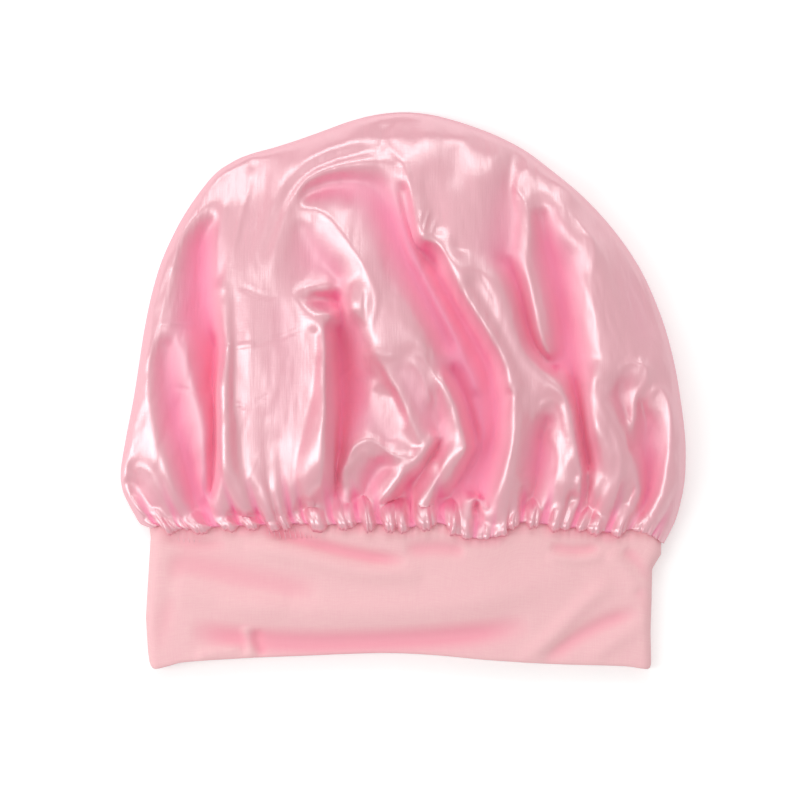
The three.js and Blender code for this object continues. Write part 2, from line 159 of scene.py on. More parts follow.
# %% Folds of the top and the middle
FOLDS.update({
    # the arches over the top left
    "outer_arch": [
        (398, 138, 20), (379, 140, 20.5), (358, 143, 21.5), (335, 148, 22.5), (313, 160, 24), (296, 175, 25),
        (283, 193, 26), (273, 215, 27), (265, 238, 27.5), (259, 262, 28), (254, 287, 28),
    ],
    "arch_groove": [
        (392, 151, 23), (356, 158, 22.8), (325, 167, 23.4), (305, 179, 24.5), (291, 196, 25.8), (281, 215, 26.8),
        (272, 238, 27.3), (266, 257, 27.9),
    ],
    "inner_arch": [
        (404, 170, 25.5), (390, 165, 25), (365, 165, 25), (340, 169, 25.2), (320, 176, 25.8), (305, 186, 26.5),
        (297, 198, 27.5), (289, 213, 28), (282, 232, 28.5), (277, 252, 29), (274, 275, 29), (273, 292, 28.5),
    ],
    "under_arch_hollow": [
        (303, 199, 24.5), (312, 190, 22), (328, 184, 20.5), (348, 182, 20), (368, 185, 20), (382, 195, 20),
        (390, 213, 19.5), (398, 236, 19), (406, 259, 18.5), (416, 281, 18.5), (428, 305, 18.5), (440, 329, 18),
        (449, 350, 18),
    ],
    # the long curved ridge of the middle and the plane behind it
    "curved_ridge": [
        (297, 212, 27), (316, 212, 28), (334, 223, 30), (347, 241, 32.5), (359, 259, 34.5), (368, 275, 35.5),
        (375, 292, 36), (377, 308, 35.5), (373, 325, 35), (374, 345, 34.5),
    ],
    "curved_plane": [
        (352, 212, 27), (366, 236, 30), (376, 258, 31.5), (385, 280, 32.5), (398, 298, 33), (410, 316, 33.5),
        (422, 335, 33.5), (433, 353, 32.5),
    ],
    "front_plane": [(302, 228, 25.5), (308, 246, 24.2), (320, 262, 23.5), (334, 274, 23.5), (340, 282, 23.5)],
    "front_plane_low": [(286, 270, 27.5), (300, 281, 26), (318, 285, 25.5)],
    "star_edge": [(352, 282, 30.5), (349, 297, 30), (352, 314, 31), (362, 326, 32), (367, 338, 32.5)],
    "star_foot": [(341, 300, 17), (343, 318, 16), (352, 336, 17), (357, 352, 17), (360, 372, 17)],
    "pocket_rim": [
        (330, 290, 26), (314, 290, 27), (300, 292.5, 28), (296.5, 298, 29), (307, 308, 30), (325, 314, 31),
        (333, 318, 31),
    ],
    "pocket": [(311, 299.5, 24.5), (323, 301, 21), (334, 304, 17)],
})
print(len(FOLDS), "fold lines with the top and the middle")

# %% [markdown]
# The front pleat is the largest fold. It stands over a deep hollow, and real cloth doubles under at its right edge. A
# sheet that is given by one height at each place can't, so the pleat ends in a steep step, which looks alike from
# above. Beyond the hollow two folds bend towards the seam and end in a loop.

# %% The front pleat and the bent folds
FOLDS.update({
    # the deep hollow beside the front pleat
    "deep_hollow": [
        (332, 329, 18), (333, 345, 12.5), (333.5, 362, 10), (335, 400, 9.5), (335.5, 436, 9), (335, 466, 9.5),
        (332.5, 492, 10.5),
    ],
    "deep_hollow_side": [(374, 400, 22.5), (362, 414, 18.5), (351, 430, 14), (344, 444, 11)],
    "small_fold": [(365, 352, 27), (372, 365, 27), (379, 378, 26.5), (374, 391, 23.5)],
    "inner_plane_edge": [
        (374, 398, 23.5), (391, 391, 26), (399, 402, 27), (403, 415, 26.5), (403, 427, 26), (407, 438, 25.5),
        (412, 448, 25),
    ],
    "inner_plane": [(386, 410, 24), (386, 426, 23), (388, 442, 23)],
    # the front pleat
    "pleat_left_rim": [
        (227, 287, 26.7), (226, 318, 26.7), (226, 348, 26.7), (223, 380, 26.7), (222, 410, 26.7), (221, 440, 26.4),
        (220.5, 468, 25), (221, 488, 22.5), (225, 503, 21),
    ],
    "pleat_strip": [(238, 302, 26.5), (239, 345, 27.5), (237, 393, 27), (239, 432, 27.5), (242, 470, 27)],
    "pleat_line": [(252, 300, 28.8), (252.5, 342, 29.8), (251, 395, 29.4)],
    "pleat_plane": [(283, 308, 27.6), (287, 345, 28.2), (292, 385, 28.6)],
    "pleat_dip": [(262, 412, 28), (268, 435, 27.4), (272, 460, 26.6), (272, 485, 24.5)],
    "pleat_puff": [(281, 487, 25), (284, 500, 23)],
    "pleat_right_ridge": [
        (318, 333, 30.8), (317, 362, 31), (314, 392, 31), (307, 418, 30.8), (299, 453, 29.5), (292, 486, 26.5),
        (286, 505, 22.5),
    ],
    "pleat_right_rim": [
        (325, 317, 31), (328, 345, 31.5), (329, 377, 31.5), (331, 408, 31.5), (331, 440, 31), (330, 468, 29),
        (327, 488, 26.5),
    ],
    "pleat_hem": [
        (226, 505, 20.5), (236, 507, 21.5), (247, 507, 22), (257, 509, 22), (268, 511.5, 21.5), (281, 518, 19.5),
        (291, 511, 20.5), (299, 498, 23), (311, 491, 24.5), (325, 493, 24),
    ],
    "pleat_hem_foot": [(229, 513, 16), (246, 514, 16), (258, 516.5, 16), (269, 519, 16.5)],
    "pleat_curl": [(298, 512, 16.5), (306, 503, 18), (316, 500, 18.5)],
    # the two bent folds to the right of the deep hollow, and the loop at their foot
    "inner_bend": [
        (377, 357, 33), (389, 375, 31.5), (399, 395, 30.5), (409, 415, 29.5), (416, 432, 28.5), (420, 445, 26.5),
    ],
    "inner_bend_side": [(398, 372, 30.5), (409, 391, 28.5), (419, 411, 26.5), (428, 430, 24.5)],
    "middle_streak": [(408, 359, 33), (419, 371, 31.5), (426, 388, 30), (430, 402, 28.5)],
    "middle_groove": [(434, 392, 28), (439, 408, 25.5), (441, 423, 23), (437, 434, 21.5)],
    "outer_bend": [
        (404, 356, 33.5), (420, 357, 33.5), (430, 368, 32.5), (440, 388, 31.5), (448, 405, 30.5), (455, 425, 29.5),
        (456, 438, 28.5), (449, 453, 27), (441, 468, 25), (433, 483, 22.5), (425, 498, 20), (417, 512, 17),
    ],
    "outer_bend_edge": [
        (443, 375, 31.5), (453, 398, 30.5), (462, 427, 28.5), (469, 449, 27), (458, 464, 25), (445, 481, 22),
        (436, 496, 19), (428, 512, 16),
    ],
    "outer_bend_foot": [
        (447, 372, 20), (455, 388, 16.5), (463, 406, 14), (470, 428, 12), (475.5, 448, 11), (466, 466, 11),
        (453, 484, 11), (443, 503, 11.5),
    ],
    "inner_edge": [
        (435, 439, 26.5), (421, 458, 25), (407, 475, 23.5), (394, 489, 20.5), (380, 503, 17.5), (371, 514, 14.5),
    ],
    "inner_edge_foot": [(438, 443, 17), (425, 462, 15), (411, 479, 13.5), (398, 493, 12), (385, 507, 11.5)],
    "lens_line": [(433, 459, 21.5), (433, 474, 21), (427, 490, 19), (418, 506, 16.5)],
    "loop": [
        (343, 484, 17), (342, 472, 18.5), (347, 458, 20.5), (355, 444, 23), (368, 438.5, 24.5), (379, 442, 25.5),
        (388, 451, 26), (398, 456, 26.5), (409, 453, 26.5),
    ],
    "inner_loop": [(347, 475, 19.5), (354, 462, 21.5), (363, 453, 22.5), (372, 455, 23)],
    "loop_slit": [(391, 467, 21), (383, 462, 19), (375, 470, 15), (367, 486, 12), (360, 503, 11), (357, 515, 11)],
    "loop_left_plane": [(356, 472, 19), (351, 490, 17), (348, 504, 14.5)],
    "loop_right_plane": [(392, 477, 23), (383, 492, 20), (373, 507, 16)],
})
print(len(FOLDS), "fold lines with the pleat")

# %% [markdown]
# A packing crease runs down the middle from the top to the seam, with a long valley on each side. Up on the right lie
# a light band, a valley and a thin ridge.

# %% The centre crease and the upper right
FOLDS.update({
    # the long valleys and the crease down the middle
    "weak_ridge": [
        (393, 190, 23.5), (401, 218, 23), (409, 243, 22.5), (418, 266, 22), (430, 290, 21.5), (443, 315, 21),
        (456, 341, 20), (467, 366, 18.5), (475, 390, 17),
    ],
    "long_valley": [
        (404, 190, 24), (407, 208, 22.5), (410, 228, 20), (417, 249, 17.5), (435, 262, 16), (442, 279, 15),
        (452, 297, 14), (464, 317, 13), (476, 336, 12.5), (487, 354, 12), (494, 370, 12), (497, 388, 12.5),
        (499, 410, 12.5), (498, 436, 12), (492, 462, 12), (483, 486, 11.5), (473, 508, 11),
    ],
    "long_valley_foot": [(474, 400, 15), (481, 430, 15), (476, 458, 12.5), (464, 482, 11.5), (453, 503, 11.5)],
    "centre_crease": [
        (378, 131, 17), (386, 145, 21), (398, 160, 24.5), (406, 174, 27), (409, 190, 28), (412, 208, 29),
        (416, 225, 30), (421, 242, 31), (431, 246, 31.5), (438, 252, 32), (446, 267, 32.5), (455, 285, 33),
        (467, 305, 33.5), (480, 325, 34), (492, 343, 33.5), (500, 356, 33), (505, 370, 32.5), (507, 386, 32),
        (512.5, 393, 32), (511, 410, 31.5), (511, 430, 31), (507, 455, 30), (502, 476, 28), (497, 494, 25.5),
        (495, 512, 22.5), (494, 526, 19.5),
    ],
    "centre_second_line": [(519, 398, 31), (520, 429, 30.5), (516, 460, 29), (511, 488, 26), (508, 510, 21)],
    "centre_left_slope": [(497, 470, 20), (489, 492, 17), (483, 506, 15)],
    "centre_foot_loop": [(472, 520, 18), (472, 504, 18.5), (477, 498, 19), (483, 507, 19), (484, 522, 18.5)],
    "centre_foot_dip": [(478, 508, 15), (478, 524, 14.5)],
    # the upper right: a light band, a valley and a thin ridge
    "top_rim": [
        (385, 136, 18), (400, 129.5, 16.5), (434, 129, 16.5), (463, 134, 16), (482, 141, 15.5), (496, 145, 15),
    ],
    "top_rim_groove": [(396, 123, 13.5), (430, 122.5, 13.5), (458, 127, 13)],
    "lens_outer": [(408, 140, 21), (430, 136, 20), (458, 138, 19), (478, 145, 17.5)],
    "lens_inner": [(403, 163, 26.3), (420, 164, 26), (448, 158, 24), (476, 150.5, 20.5)],
    "right_of_crease": [(424, 188, 27.3), (431, 210, 28.6), (438, 232, 30.3)],
    "light_band": [
        (497, 158, 20), (485, 180, 25.5), (471, 194, 27.5), (461, 215, 29.5), (456, 233, 31), (457, 252, 31.8),
    ],
    "upper_valley": [
        (508, 152, 15), (509, 178, 19), (511, 200, 21.5), (513, 222, 22.5), (511, 244, 22.5), (507, 258, 21.5),
    ],
    "upper_valley_side": [(489, 190, 24.5), (480, 212, 27.5), (478, 235, 28.5), (484, 255, 28)],
    "side_valley": [
        (500, 262, 20.5), (511, 274, 18), (518, 292, 16.5), (523, 311, 15.5), (530, 334, 15), (539, 352, 15.5),
        (550, 366, 16.5),
    ],
    "side_plane": [(470, 285, 34), (486, 312, 33.5), (501, 338, 32.5), (513, 362, 31.5), (527, 388, 29.5)],
    "side_plane_edge": [
        (480, 270, 33.5), (495, 277, 31.5), (505, 296, 31), (510, 315, 30.5), (516, 336, 30), (524, 354, 29.5),
        (534, 364, 28.5), (552, 377, 27.5), (562, 388, 27), (568, 408, 26.5), (573, 430, 25.5), (578, 457, 24),
        (582, 482, 21.5), (578, 506, 17.5),
    ],
    "thin_ridge": [
        (530, 168, 17), (521, 173, 19), (515.5, 191, 23), (522, 202, 25.5), (526, 217, 27), (526, 244, 27.5),
        (525, 269, 27.5), (530, 294, 27), (534, 317, 26), (538, 342, 24), (546, 357, 22),
    ],
    "shoulder_valley": [
        (537, 214, 21), (542, 240, 18), (549, 262, 14.5), (556, 287, 12), (561, 310, 11), (566, 335, 10),
        (568, 360, 10), (571, 385, 10), (576, 408, 9.5), (580, 432, 9.5), (584, 458, 9.5), (587, 480, 10),
        (584, 510, 11),
    ],
})
print(len(FOLDS), "fold lines with the centre crease")

# %% [markdown]
# The right shoulder is the bulge next to the outline. Small folds hang from it, and a lobe lies between it and the
# centre.

# %% The right shoulder and the lobe
FOLDS.update({
    # the right shoulder and the folds that hang from it
    "shoulder": [
        (543, 202, 23), (564, 211, 24.5), (578, 225, 26), (590, 240, 27.5), (592, 259, 28.5), (586, 286, 28.5),
        (588, 305, 28.5), (593, 326, 28.5), (596, 349, 28.5), (598, 360, 28.5), (591, 378, 28.5), (588, 405, 27.5),
        (590, 429, 27), (596, 448, 26), (601, 474, 23.5),
    ],
    "shoulder_rim": [(532, 167, 15.5), (553, 176, 15.5), (568, 186, 16), (580, 202, 17.5)],
    "shoulder_plane": [(553, 212, 23.5), (561, 228, 25.5), (568, 244, 25.5)],
    "outer_shoulder": [
        (591, 231, 21), (603, 248, 22.5), (610, 272, 24), (616, 297, 25), (618, 320, 26), (626, 344, 26.5),
        (644, 366, 26),
    ],
    "outer_slope": [(628, 278, 17.5), (636, 303, 18), (643, 330, 19)],
    "hanging_fold": [
        (597, 385, 28.5), (597, 402, 28.5), (604, 419, 28), (614, 438, 27.5), (618, 457, 26.5), (616, 486, 23.5),
        (609, 512, 18),
    ],
    "hanging_fold_edge": [(587, 470, 18), (591, 492, 17), (599, 516, 14.5)],
    "small_hood": [
        (610, 379, 26.5), (619, 368, 27), (630, 362.5, 27), (644, 368, 26.5), (641, 384, 24.5), (633, 398, 22.5),
        (631, 419, 21), (630, 450, 19),
    ],
    "small_hood_hollow": [(620, 379, 23.5), (614, 393, 21), (619, 407, 20), (625, 422, 19.5)],
    "small_hood_edge": [
        (609, 384, 26.5), (601, 397, 27), (606, 406, 26.5), (615, 419, 25.5), (626, 444, 24), (634, 472, 21.5),
        (636, 498, 17.5),
    ],
    "last_hollow": [(639, 402, 18), (644, 429, 13.5), (643, 457, 11.5), (645, 486, 11), (642, 512, 11.5)],
    "right_edge_fold": [
        (645, 408, 19.5), (649, 394, 22), (656, 388, 23), (663, 396, 23), (668, 412, 22.5), (666, 446, 21.5),
        (662, 476, 20), (656, 500, 17.5), (650, 520, 14.5),
    ],
    "small_arch": [(621, 503, 15), (625, 491, 17.5), (632, 484, 18.5), (635, 492, 18), (632, 510, 14.5)],
    # the lobe between the centre and the shoulder
    "lobe_arch": [
        (532, 419, 25), (541, 405, 26.5), (553, 402, 26.5), (562, 414, 26), (566, 434, 25.5), (570, 457, 24.5),
        (574, 476, 22),
    ],
    "lobe_hollow": [(545, 418, 19), (541, 438, 14), (536, 462, 12), (532, 486, 11.5), (528, 504, 11.5)],
    "lobe_inner": [
        (549, 434, 20.5), (556, 449, 22.5), (557, 463, 22.5), (552, 480, 21), (547, 498, 19), (539, 513, 15.5),
    ],
    "lobe_hook": [(565, 502, 15.5), (574, 497, 16.5), (580, 500, 15.5)],
    "centre_hook": [(521, 472, 23), (527, 482, 20), (524, 491, 18.5)],
})
print(len(FOLDS), "fold lines,", sum(len(line) for line in FOLDS.values()), "places")

# %% [markdown]
# Between its ridges and valleys cloth hangs like a soap film between wires: each place takes the mean height of the
# places round it. That is solved on a raster of the picture, with the drawn lines held fast. Sculpting could shape
# the cloth too, but it wouldn't follow drawn lines, and a film can be solved again whenever a line is moved.

# %% A film hung between lines
CELL = 1.5
RASTER_LOW = np.array([96.0, 90.0])
RASTER_SIZE = (408, 400)
FILM_ROUNDS = 160
FILM_PULL = 1.93


def raster_cells(places):
    """The raster cells that picture places fall in."""
    cells = np.rint((np.asarray(places)[:, :2] - RASTER_LOW) / CELL).astype(int)
    return np.clip(cells[:, 0], 0, RASTER_SIZE[0] - 1), np.clip(cells[:, 1], 0, RASTER_SIZE[1] - 1)


def film(lines, heights):
    """Heights on the raster, held at every line, zero at the raster's rim and relaxed everywhere else."""
    total = np.zeros(RASTER_SIZE)
    count = np.zeros(RASTER_SIZE)
    for line, height in zip(lines, heights):
        x, y = raster_cells(line)
        np.add.at(total, (x, y), height)
        np.add.at(count, (x, y), 1)
    free = count == 0
    height = total / np.maximum(count, 1)
    free[0] = free[-1] = False
    free[:, 0] = free[:, -1] = False
    i, j = np.indices(RASTER_SIZE)
    turns = [free & ((i + j) % 2 == parity) for parity in (0, 1)]
    for _ in range(FILM_ROUNDS):
        for cells in turns:
            mean = (np.roll(height, 1, 0) + np.roll(height, -1, 0) + np.roll(height, 1, 1) + np.roll(height, -1, 1)) / 4
            height = np.where(cells, height + FILM_PULL * (mean - height), height)
    return height


def blur(height, rounds):
    """Softens heights on the raster, more with more rounds."""
    for _ in range(rounds):
        for axis in (0, 1):
            height = (np.roll(height, 1, axis) + 2 * height + np.roll(height, -1, axis)) / 4
    return height


def sample(height, places):
    """The raster's height at picture places, between its cells."""
    at = (np.asarray(places)[..., :2] - RASTER_LOW) / CELL
    x = np.clip(at[..., 0], 0, RASTER_SIZE[0] - 1.001)
    y = np.clip(at[..., 1], 0, RASTER_SIZE[1] - 1.001)
    i, j = x.astype(int), y.astype(int)
    s, t = x - i, y - j
    low = height[i, j] * (1 - s) + height[i + 1, j] * s
    high = height[i, j + 1] * (1 - s) + height[i + 1, j + 1] * s
    return low * (1 - t) + high * t


print("a raster of", RASTER_SIZE, "cells")

# %% [markdown]
# A soap film has a sharp edge at every wire, but satin bends softly. So the first film is blurred strongly, a second
# one is hung from what the lines still miss and blurred less, and so on: the broad swells come first and the crisp
# crests last. The outline and the hem hold the film at their own heights.

# %% The crown's film
OUTLINE_HEIGHTS = [
    8, 9, 12, 14, 15, 16, 17, 17, 16, 15, 14, 13, 12, 11.5, 11, 11, 11, 11, 12, 13, 14, 14.5, 15, 15, 14, 11, 8,
]
HEM_HEIGHTS = [(147, 8), (165, 14), (200, 17.5), (300, 20), (403, 21.5), (500, 20), (600, 17.5), (645, 13), (663, 8)]
BLURS = (70, 22, 8, 3)
outline_heights = np.interp(np.linspace(0, 1, len(OUTLINE)), np.linspace(0, 1, len(OUTLINE_HEIGHTS)), OUTLINE_HEIGHTS)
hem_heights = np.interp([x for x, _ in HEM], *zip(*HEM_HEIGHTS))
bounds_lines = [np.column_stack([OUTLINE, outline_heights]), np.column_stack([HEM, hem_heights])]


def cloth_film(lines, blurs):
    """Broad swells first, then what the lines still miss, ever crisper."""
    lines = [smooth_line(line, 40) for line in lines]
    height = np.zeros(RASTER_SIZE)
    for rounds in blurs:
        missing = [line[:, 2] - sample(height, line) for line in lines]
        height = height + blur(film(lines, missing), rounds)
    return height


hung = cloth_film(bounds_lines + list(FOLDS.values()), BLURS)
print("film up to", round(hung.max(), 1), "mm")

# %% [markdown]
# The folds of satin have full, round ridges and narrow valleys. So one more film is hung from the ridges alone and
# one from the valleys alone, and a place's share of the way between them tells how high it lies in its fold. That
# share is bent, so that more of the cloth lies near the top. Where ridges stand far above the valleys, the depth is
# held under a limit, because steeper walls would catch no light. The share also tells how deep a place lies in a
# valley. That is kept as painted valley shade: the colour is painted a deeper pink there, standing in for the light
# that bounces between walls of pink cloth.

# %% Round ridges and narrow valleys
VALLEY_ENDS = ("hollow", "valley", "groove", "foot", "dip", "slit", "slot", "pocket")
PLANE_ENDS = ("plane", "patch", "flank", "side", "slope", "low", "strip", "streak", "weak_ridge")
PART_BLURS = (40, 8)
ROUND_TOP = 1.35
MOST_DEPTH = 15.0
LEAST_DEPTH = 0.5
LEAST_HEIGHT = 5.0
# The HOLLOW settings shape the painted valley shade, a deeper pink painted where a place lies low in its fold.
HOLLOW_GAIN = 1.1
HOLLOW_FROM, HOLLOW_TO_FULL = 1.5, 9
HOLLOW_BLUR = 8
ridges = [line for name, line in FOLDS.items() if not name.endswith(VALLEY_ENDS + PLANE_ENDS)]
valleys = [line for name, line in FOLDS.items() if name.endswith(VALLEY_ENDS)]
upper = cloth_film(bounds_lines + ridges, PART_BLURS)
lower = cloth_film(bounds_lines + valleys, PART_BLURS)
span = np.maximum(upper - lower, LEAST_DEPTH)
share = np.clip((hung - lower) / span, 0, 1)
rounded = 1 - (1 - share) ** ROUND_TOP
overhang = hung - (lower + share * span)
soft_span = MOST_DEPTH * np.tanh(span / MOST_DEPTH)
crown_film = np.maximum(blur(lower + span - soft_span * (1 - rounded) + overhang, 1), LEAST_HEIGHT)
deep = np.clip((span - HOLLOW_FROM) / HOLLOW_TO_FULL, 0, 1)
# painted shade: a deeper pink is painted into the valleys, standing in for light bounced between the folds
painted_valley_shade = blur(np.clip(HOLLOW_GAIN - HOLLOW_GAIN * share, 0, 1) * deep, HOLLOW_BLUR)
print("crown from", round(crown_film.min(), 1), "to", round(crown_film.max(), 1), "mm")

# %% [markdown]
# Packing has left a few sharp creases in the satin: short level ones, and a step across the front pleat. Each is a
# narrow groove or ridge, a fraction of a millimetre high, laid over the film. Its height comes first, in millimetres,
# below zero for a groove, and then its places.

# %% Packing creases
CREASES = [
    (0.5, [(162, 325), (170, 324.5), (182, 325), (198, 326.5)]),
    (0.35, [(174, 268), (182, 269), (190, 270)]),
    (-0.4, [(176, 387), (186, 389.5), (200, 392), (213, 393)]),
    (-0.6, [(240, 288), (250, 291), (258, 295), (272, 298.5), (280, 296)]),
    (0.7, [(226, 348), (238, 347), (249, 346), (256, 346.5)]),
    (-0.6, [(256, 346.5), (262, 343.5), (275, 340), (290, 335), (304, 328)]),
    (0.6, [(227, 401), (238, 404), (249, 406.5)]),
    (-0.3, [(257, 402), (265, 398), (273, 394)]),
    (0.5, [(418, 232), (422, 214)]),
    (0.55, [(423, 236), (430, 212)]),
    (0.4, [(431, 238), (436, 222)]),
    (0.6, [(505, 386), (509, 391), (513, 394)]),
    (0.5, [(375, 355), (388, 357), (404, 356)]),
    (-0.6, [(365.5, 291), (364.5, 306), (365, 322)]),
    (-0.5, [(478, 275), (486, 289), (494, 303)]),
    (-0.4, [(332, 385), (345, 374), (357, 362)]),
    (0.3, [(262, 452), (254, 467), (250, 480)]),
]
CREASE_WIDTH = 1.5
print(len(CREASES), "creases")

# %% [markdown]
# Where a fold is pulled tight, its crest is a crisp rim that mirrors a lamp as a thin white line. So some of the
# ridges get a narrow swell along their crest as well.

# %% Crisp rims
RIMS = {
    # the fold line and its extra height in millimetres
    "pleat_left_rim": 0.7, "pleat_right_rim": 0.8, "pleat_line": 0.15, "left_crest": 0.35, "left_flank": 0.4,
    "left_puff": 0.6, "left_puff_rim": 0.5, "upper_left_ridge": 0.4, "inner_arch": 0.25, "curved_ridge": 0.6,
    "inner_bend": 0.6, "middle_streak": 0.5, "outer_bend": 0.7, "outer_bend_edge": 0.4, "inner_edge": 0.5,
    "lens_line": 0.5, "loop": 0.85, "inner_loop": 0.7, "centre_crease": 0.85, "centre_second_line": 0.35,
    "centre_foot_loop": 0.6, "thin_ridge": 0.5, "side_plane_edge": 0.5, "shoulder": 0.4, "hanging_fold": 0.7,
    "small_hood": 0.5, "small_hood_edge": 0.6, "right_edge_fold": 0.6, "small_arch": 0.6, "lobe_arch": 0.8,
    "lobe_inner": 0.5, "pleat_hem": 0.4, "pleat_curl": 0.5, "small_fold": 0.4, "pocket_rim": 0.25,
}
RIM_WIDTH = 3.6
RIM_SCALE = 1.45
print(len(RIMS), "rims")

# %% [markdown]
# Creases and rims are laid on the same way: a rounded swell whose height falls off with the distance from its line.
# Over the first and last part of the line it tapers to nothing, since a blunt end would look like a bead.

# %% Swells along a line
TAPER = 0.22


def nearest_on(places, line):
    """How far each place is from a line, and at what share of the line's points the nearest one is."""
    dense = smooth_line(line, 10)[:, :2]
    flat = np.asarray(places)[..., :2].reshape(-1, 2)
    least = np.full(len(flat), np.inf)
    where = np.zeros(len(flat))
    for number, (start, end) in enumerate(zip(dense[:-1], dense[1:])):
        run = end - start
        share = np.clip(((flat - start) @ run) / max(run @ run, 1e-9), 0, 1)
        away = np.linalg.norm(flat - start - share[:, None] * run, axis=1)
        nearer = away < least
        where = np.where(nearer, (number + share) / (len(dense) - 1), where)
        least = np.minimum(least, away)
    shape = np.asarray(places).shape[:-1]
    return least.reshape(shape), where.reshape(shape)


def distance_to(places, line):
    """How far each place is from a line, in pixels."""
    return nearest_on(places, line)[0]


def swell_along(places, line, rise, width):
    """A rounded swell along a line that dies away at both ends. Only the places near the line are worked out."""
    line = np.asarray(line, dtype=float)[:, :2]
    low, high = line.min(axis=0) - 3 * width, line.max(axis=0) + 3 * width
    near = np.all((places >= low) & (places <= high), axis=-1)
    height = np.zeros(places.shape[:-1])
    away, share = nearest_on(places[near], line)
    taper = np.clip(np.minimum(share, 1 - share) / TAPER, 0, 1)
    height[near] = rise * np.exp(-((away / width) ** 2)) * taper * (2 - taper)
    return height


def crease_height(places):
    """What creases and rims add at picture places, in mm."""
    height = np.zeros(places.shape[:-1])
    for rise, line in CREASES:
        height += swell_along(places, line, rise, CREASE_WIDTH)
    for name, rise in RIMS.items():
        height += swell_along(places, FOLDS[name], RIM_SCALE * rise, RIM_WIDTH)
    return height


print("a rim rises", round(float(crease_height(np.array([FOLDS["loop"][4][:2]]))[0]), 2), "mm at the top of the loop")

# %% [markdown]
# Gathers are many small pleats side by side. They are crowded at the seam and join into fewer, wider ones further
# up. Four sizes of pleat are laid over each other, each with an uneven pitch, and each dies away at its own distance
# from the seam. A pleat is a sine without its sign, so its foot is sharp and its top round. A power below 1 makes the
# top fuller, which suits the small ones, and a power above 1 makes it narrower, which suits the long ones.

# %% Gathers
GATHERS = [
    # pitch, height and reach above the seam in millimetres, a seed for its unevenness, and the sine's power
    (2.4, 0.5, 5.0, 1.7, 0.8),
    (5.0, 1.1, 10.0, 4.1, 0.9),
    (9.5, 3.0, 30.0, 7.3, 1.3),
    (16.0, 3.2, 52.0, 9.9, 1.4),
]
PLEAT_MIDDLE = 0.4


def uneven(x, seed):
    """A smooth, repeatable unevenness between about -1 and 1."""
    return (
        np.sin(x * 1.00 + seed)
        + 0.7 * np.sin(x * 2.13 + 2.3 * seed)
        + 0.5 * np.sin(x * 3.91 + 3.7 * seed)
    ) / 1.6


def gather_height(run_mm, above_mm):
    """The pleats' height at a place along the seam and at a distance above it."""
    height = np.zeros(np.broadcast(run_mm, above_mm).shape)
    for pitch, rise, reach, seed, power in GATHERS:
        drift = 0.25 * above_mm / reach * uneven(run_mm / (3 * pitch), seed + 1)
        phase = math.pi * (run_mm / pitch + 0.45 * uneven(run_mm / (1.9 * pitch), seed) + drift)
        pleat = np.abs(np.sin(phase)) ** power - PLEAT_MIDDLE
        uneven_rise = 1 + 0.55 * uneven(run_mm / (2.7 * pitch), seed + 2)
        own_reach = reach * (1 + 0.5 * uneven(run_mm / (2.2 * pitch), seed + 3))
        fade = np.clip(1 - above_mm / np.maximum(own_reach, 0.3 * reach), 0, 1) ** 1.3
        height += rise * uneven_rise * pleat * fade
    return height


seam_heights = gather_height(np.linspace(0, 270, 500), np.zeros(500))
print("gathers from", round(seam_heights.min(), 1), "to", round(seam_heights.max(), 1), "mm at the seam")

# %% [markdown]
# Satin that has been packed is never quite smooth: it is full of shallow dents a few millimetres wide, drawn out
# along the folds. They are random heights on a coarse grid of the cloth, with a fixed seed, smoothed between. A noise
# texture on a Displace modifier could do it too, but it wouldn't follow the folds.

# %% Fine crumple
CRUMPLE = [
    # waves across, waves up, height in millimetres
    (26, 12, 0.38),
    (60, 22, 0.15),
    (130, 34, 0.07),
]
dice = np.random.default_rng(7)
crumple_grids = [dice.standard_normal((across + 4, up + 4)) for across, up, _ in CRUMPLE]


def crumple(u, v, above_mm):
    """Shallow random dents, weaker near the seam, where the gathers stretch the cloth."""
    height = np.zeros(len(u))
    for (across, up, rise), grid in zip(CRUMPLE, crumple_grids):
        x, y = u * across + 1, v * up + 1
        i, j = x.astype(int), y.astype(int)
        s, t = (part * part * (3 - 2 * part) for part in (x - i, y - j))
        low = grid[i, j] * (1 - s) + grid[i + 1, j] * s
        high = grid[i, j + 1] * (1 - s) + grid[i + 1, j + 1] * s
        height += rise * (low * (1 - t) + high * t)
    return height * np.clip(above_mm / 20, 0.2, 1)


print("dents on grids of", [grid.shape for grid in crumple_grids])

# %% [markdown]
# The band is a strip of jersey, folded double, whose fold is its lower edge. It is closed to a ring that lies flat,
# with a soft round end on the left and right. Every point near the band is given by its place round the ring, its
# distance below the seam and its depth inside the outer face, so that plies and seams can't run through each other.
# Two pairs of numbers give how high the flat ring stands and how round its ends are, at the seam and at the hem.

# %% The band's outline
SEAM_RISE = 3.0
SEAM = [(x, y - SEAM_RISE) for x, y in HEM]
BAND_HEM = [
    (150, 664), (156, 668), (170, 665), (188, 661), (249, 657), (297, 655), (380, 652), (434, 654), (488, 659),
    (553, 663), (619, 665), (640, 667.5), (648, 668), (652, 664),
]
BAND_LEFT = [(0.0, 149), (0.1, 151), (0.43, 148), (0.67, 146), (0.9, 148), (1.0, 150)]
BAND_RIGHT = [(0.0, 661), (0.12, 661), (0.27, 652), (0.5, 651.5), (0.73, 650.5), (0.9, 651), (1.0, 651)]
BAND_DROP = 70.0
BAND_LOFTS = (20.0, 12.0)
BAND_END_RADII = (7.0, 5.0)
band_seam = to_metres(smooth_line(SEAM)) / MM
band_hem = to_metres(smooth_line(BAND_HEM)) / MM
print("band drop", round(float(band_seam[:, 1].mean() - band_hem[:, 1].mean()), 1), "mm")


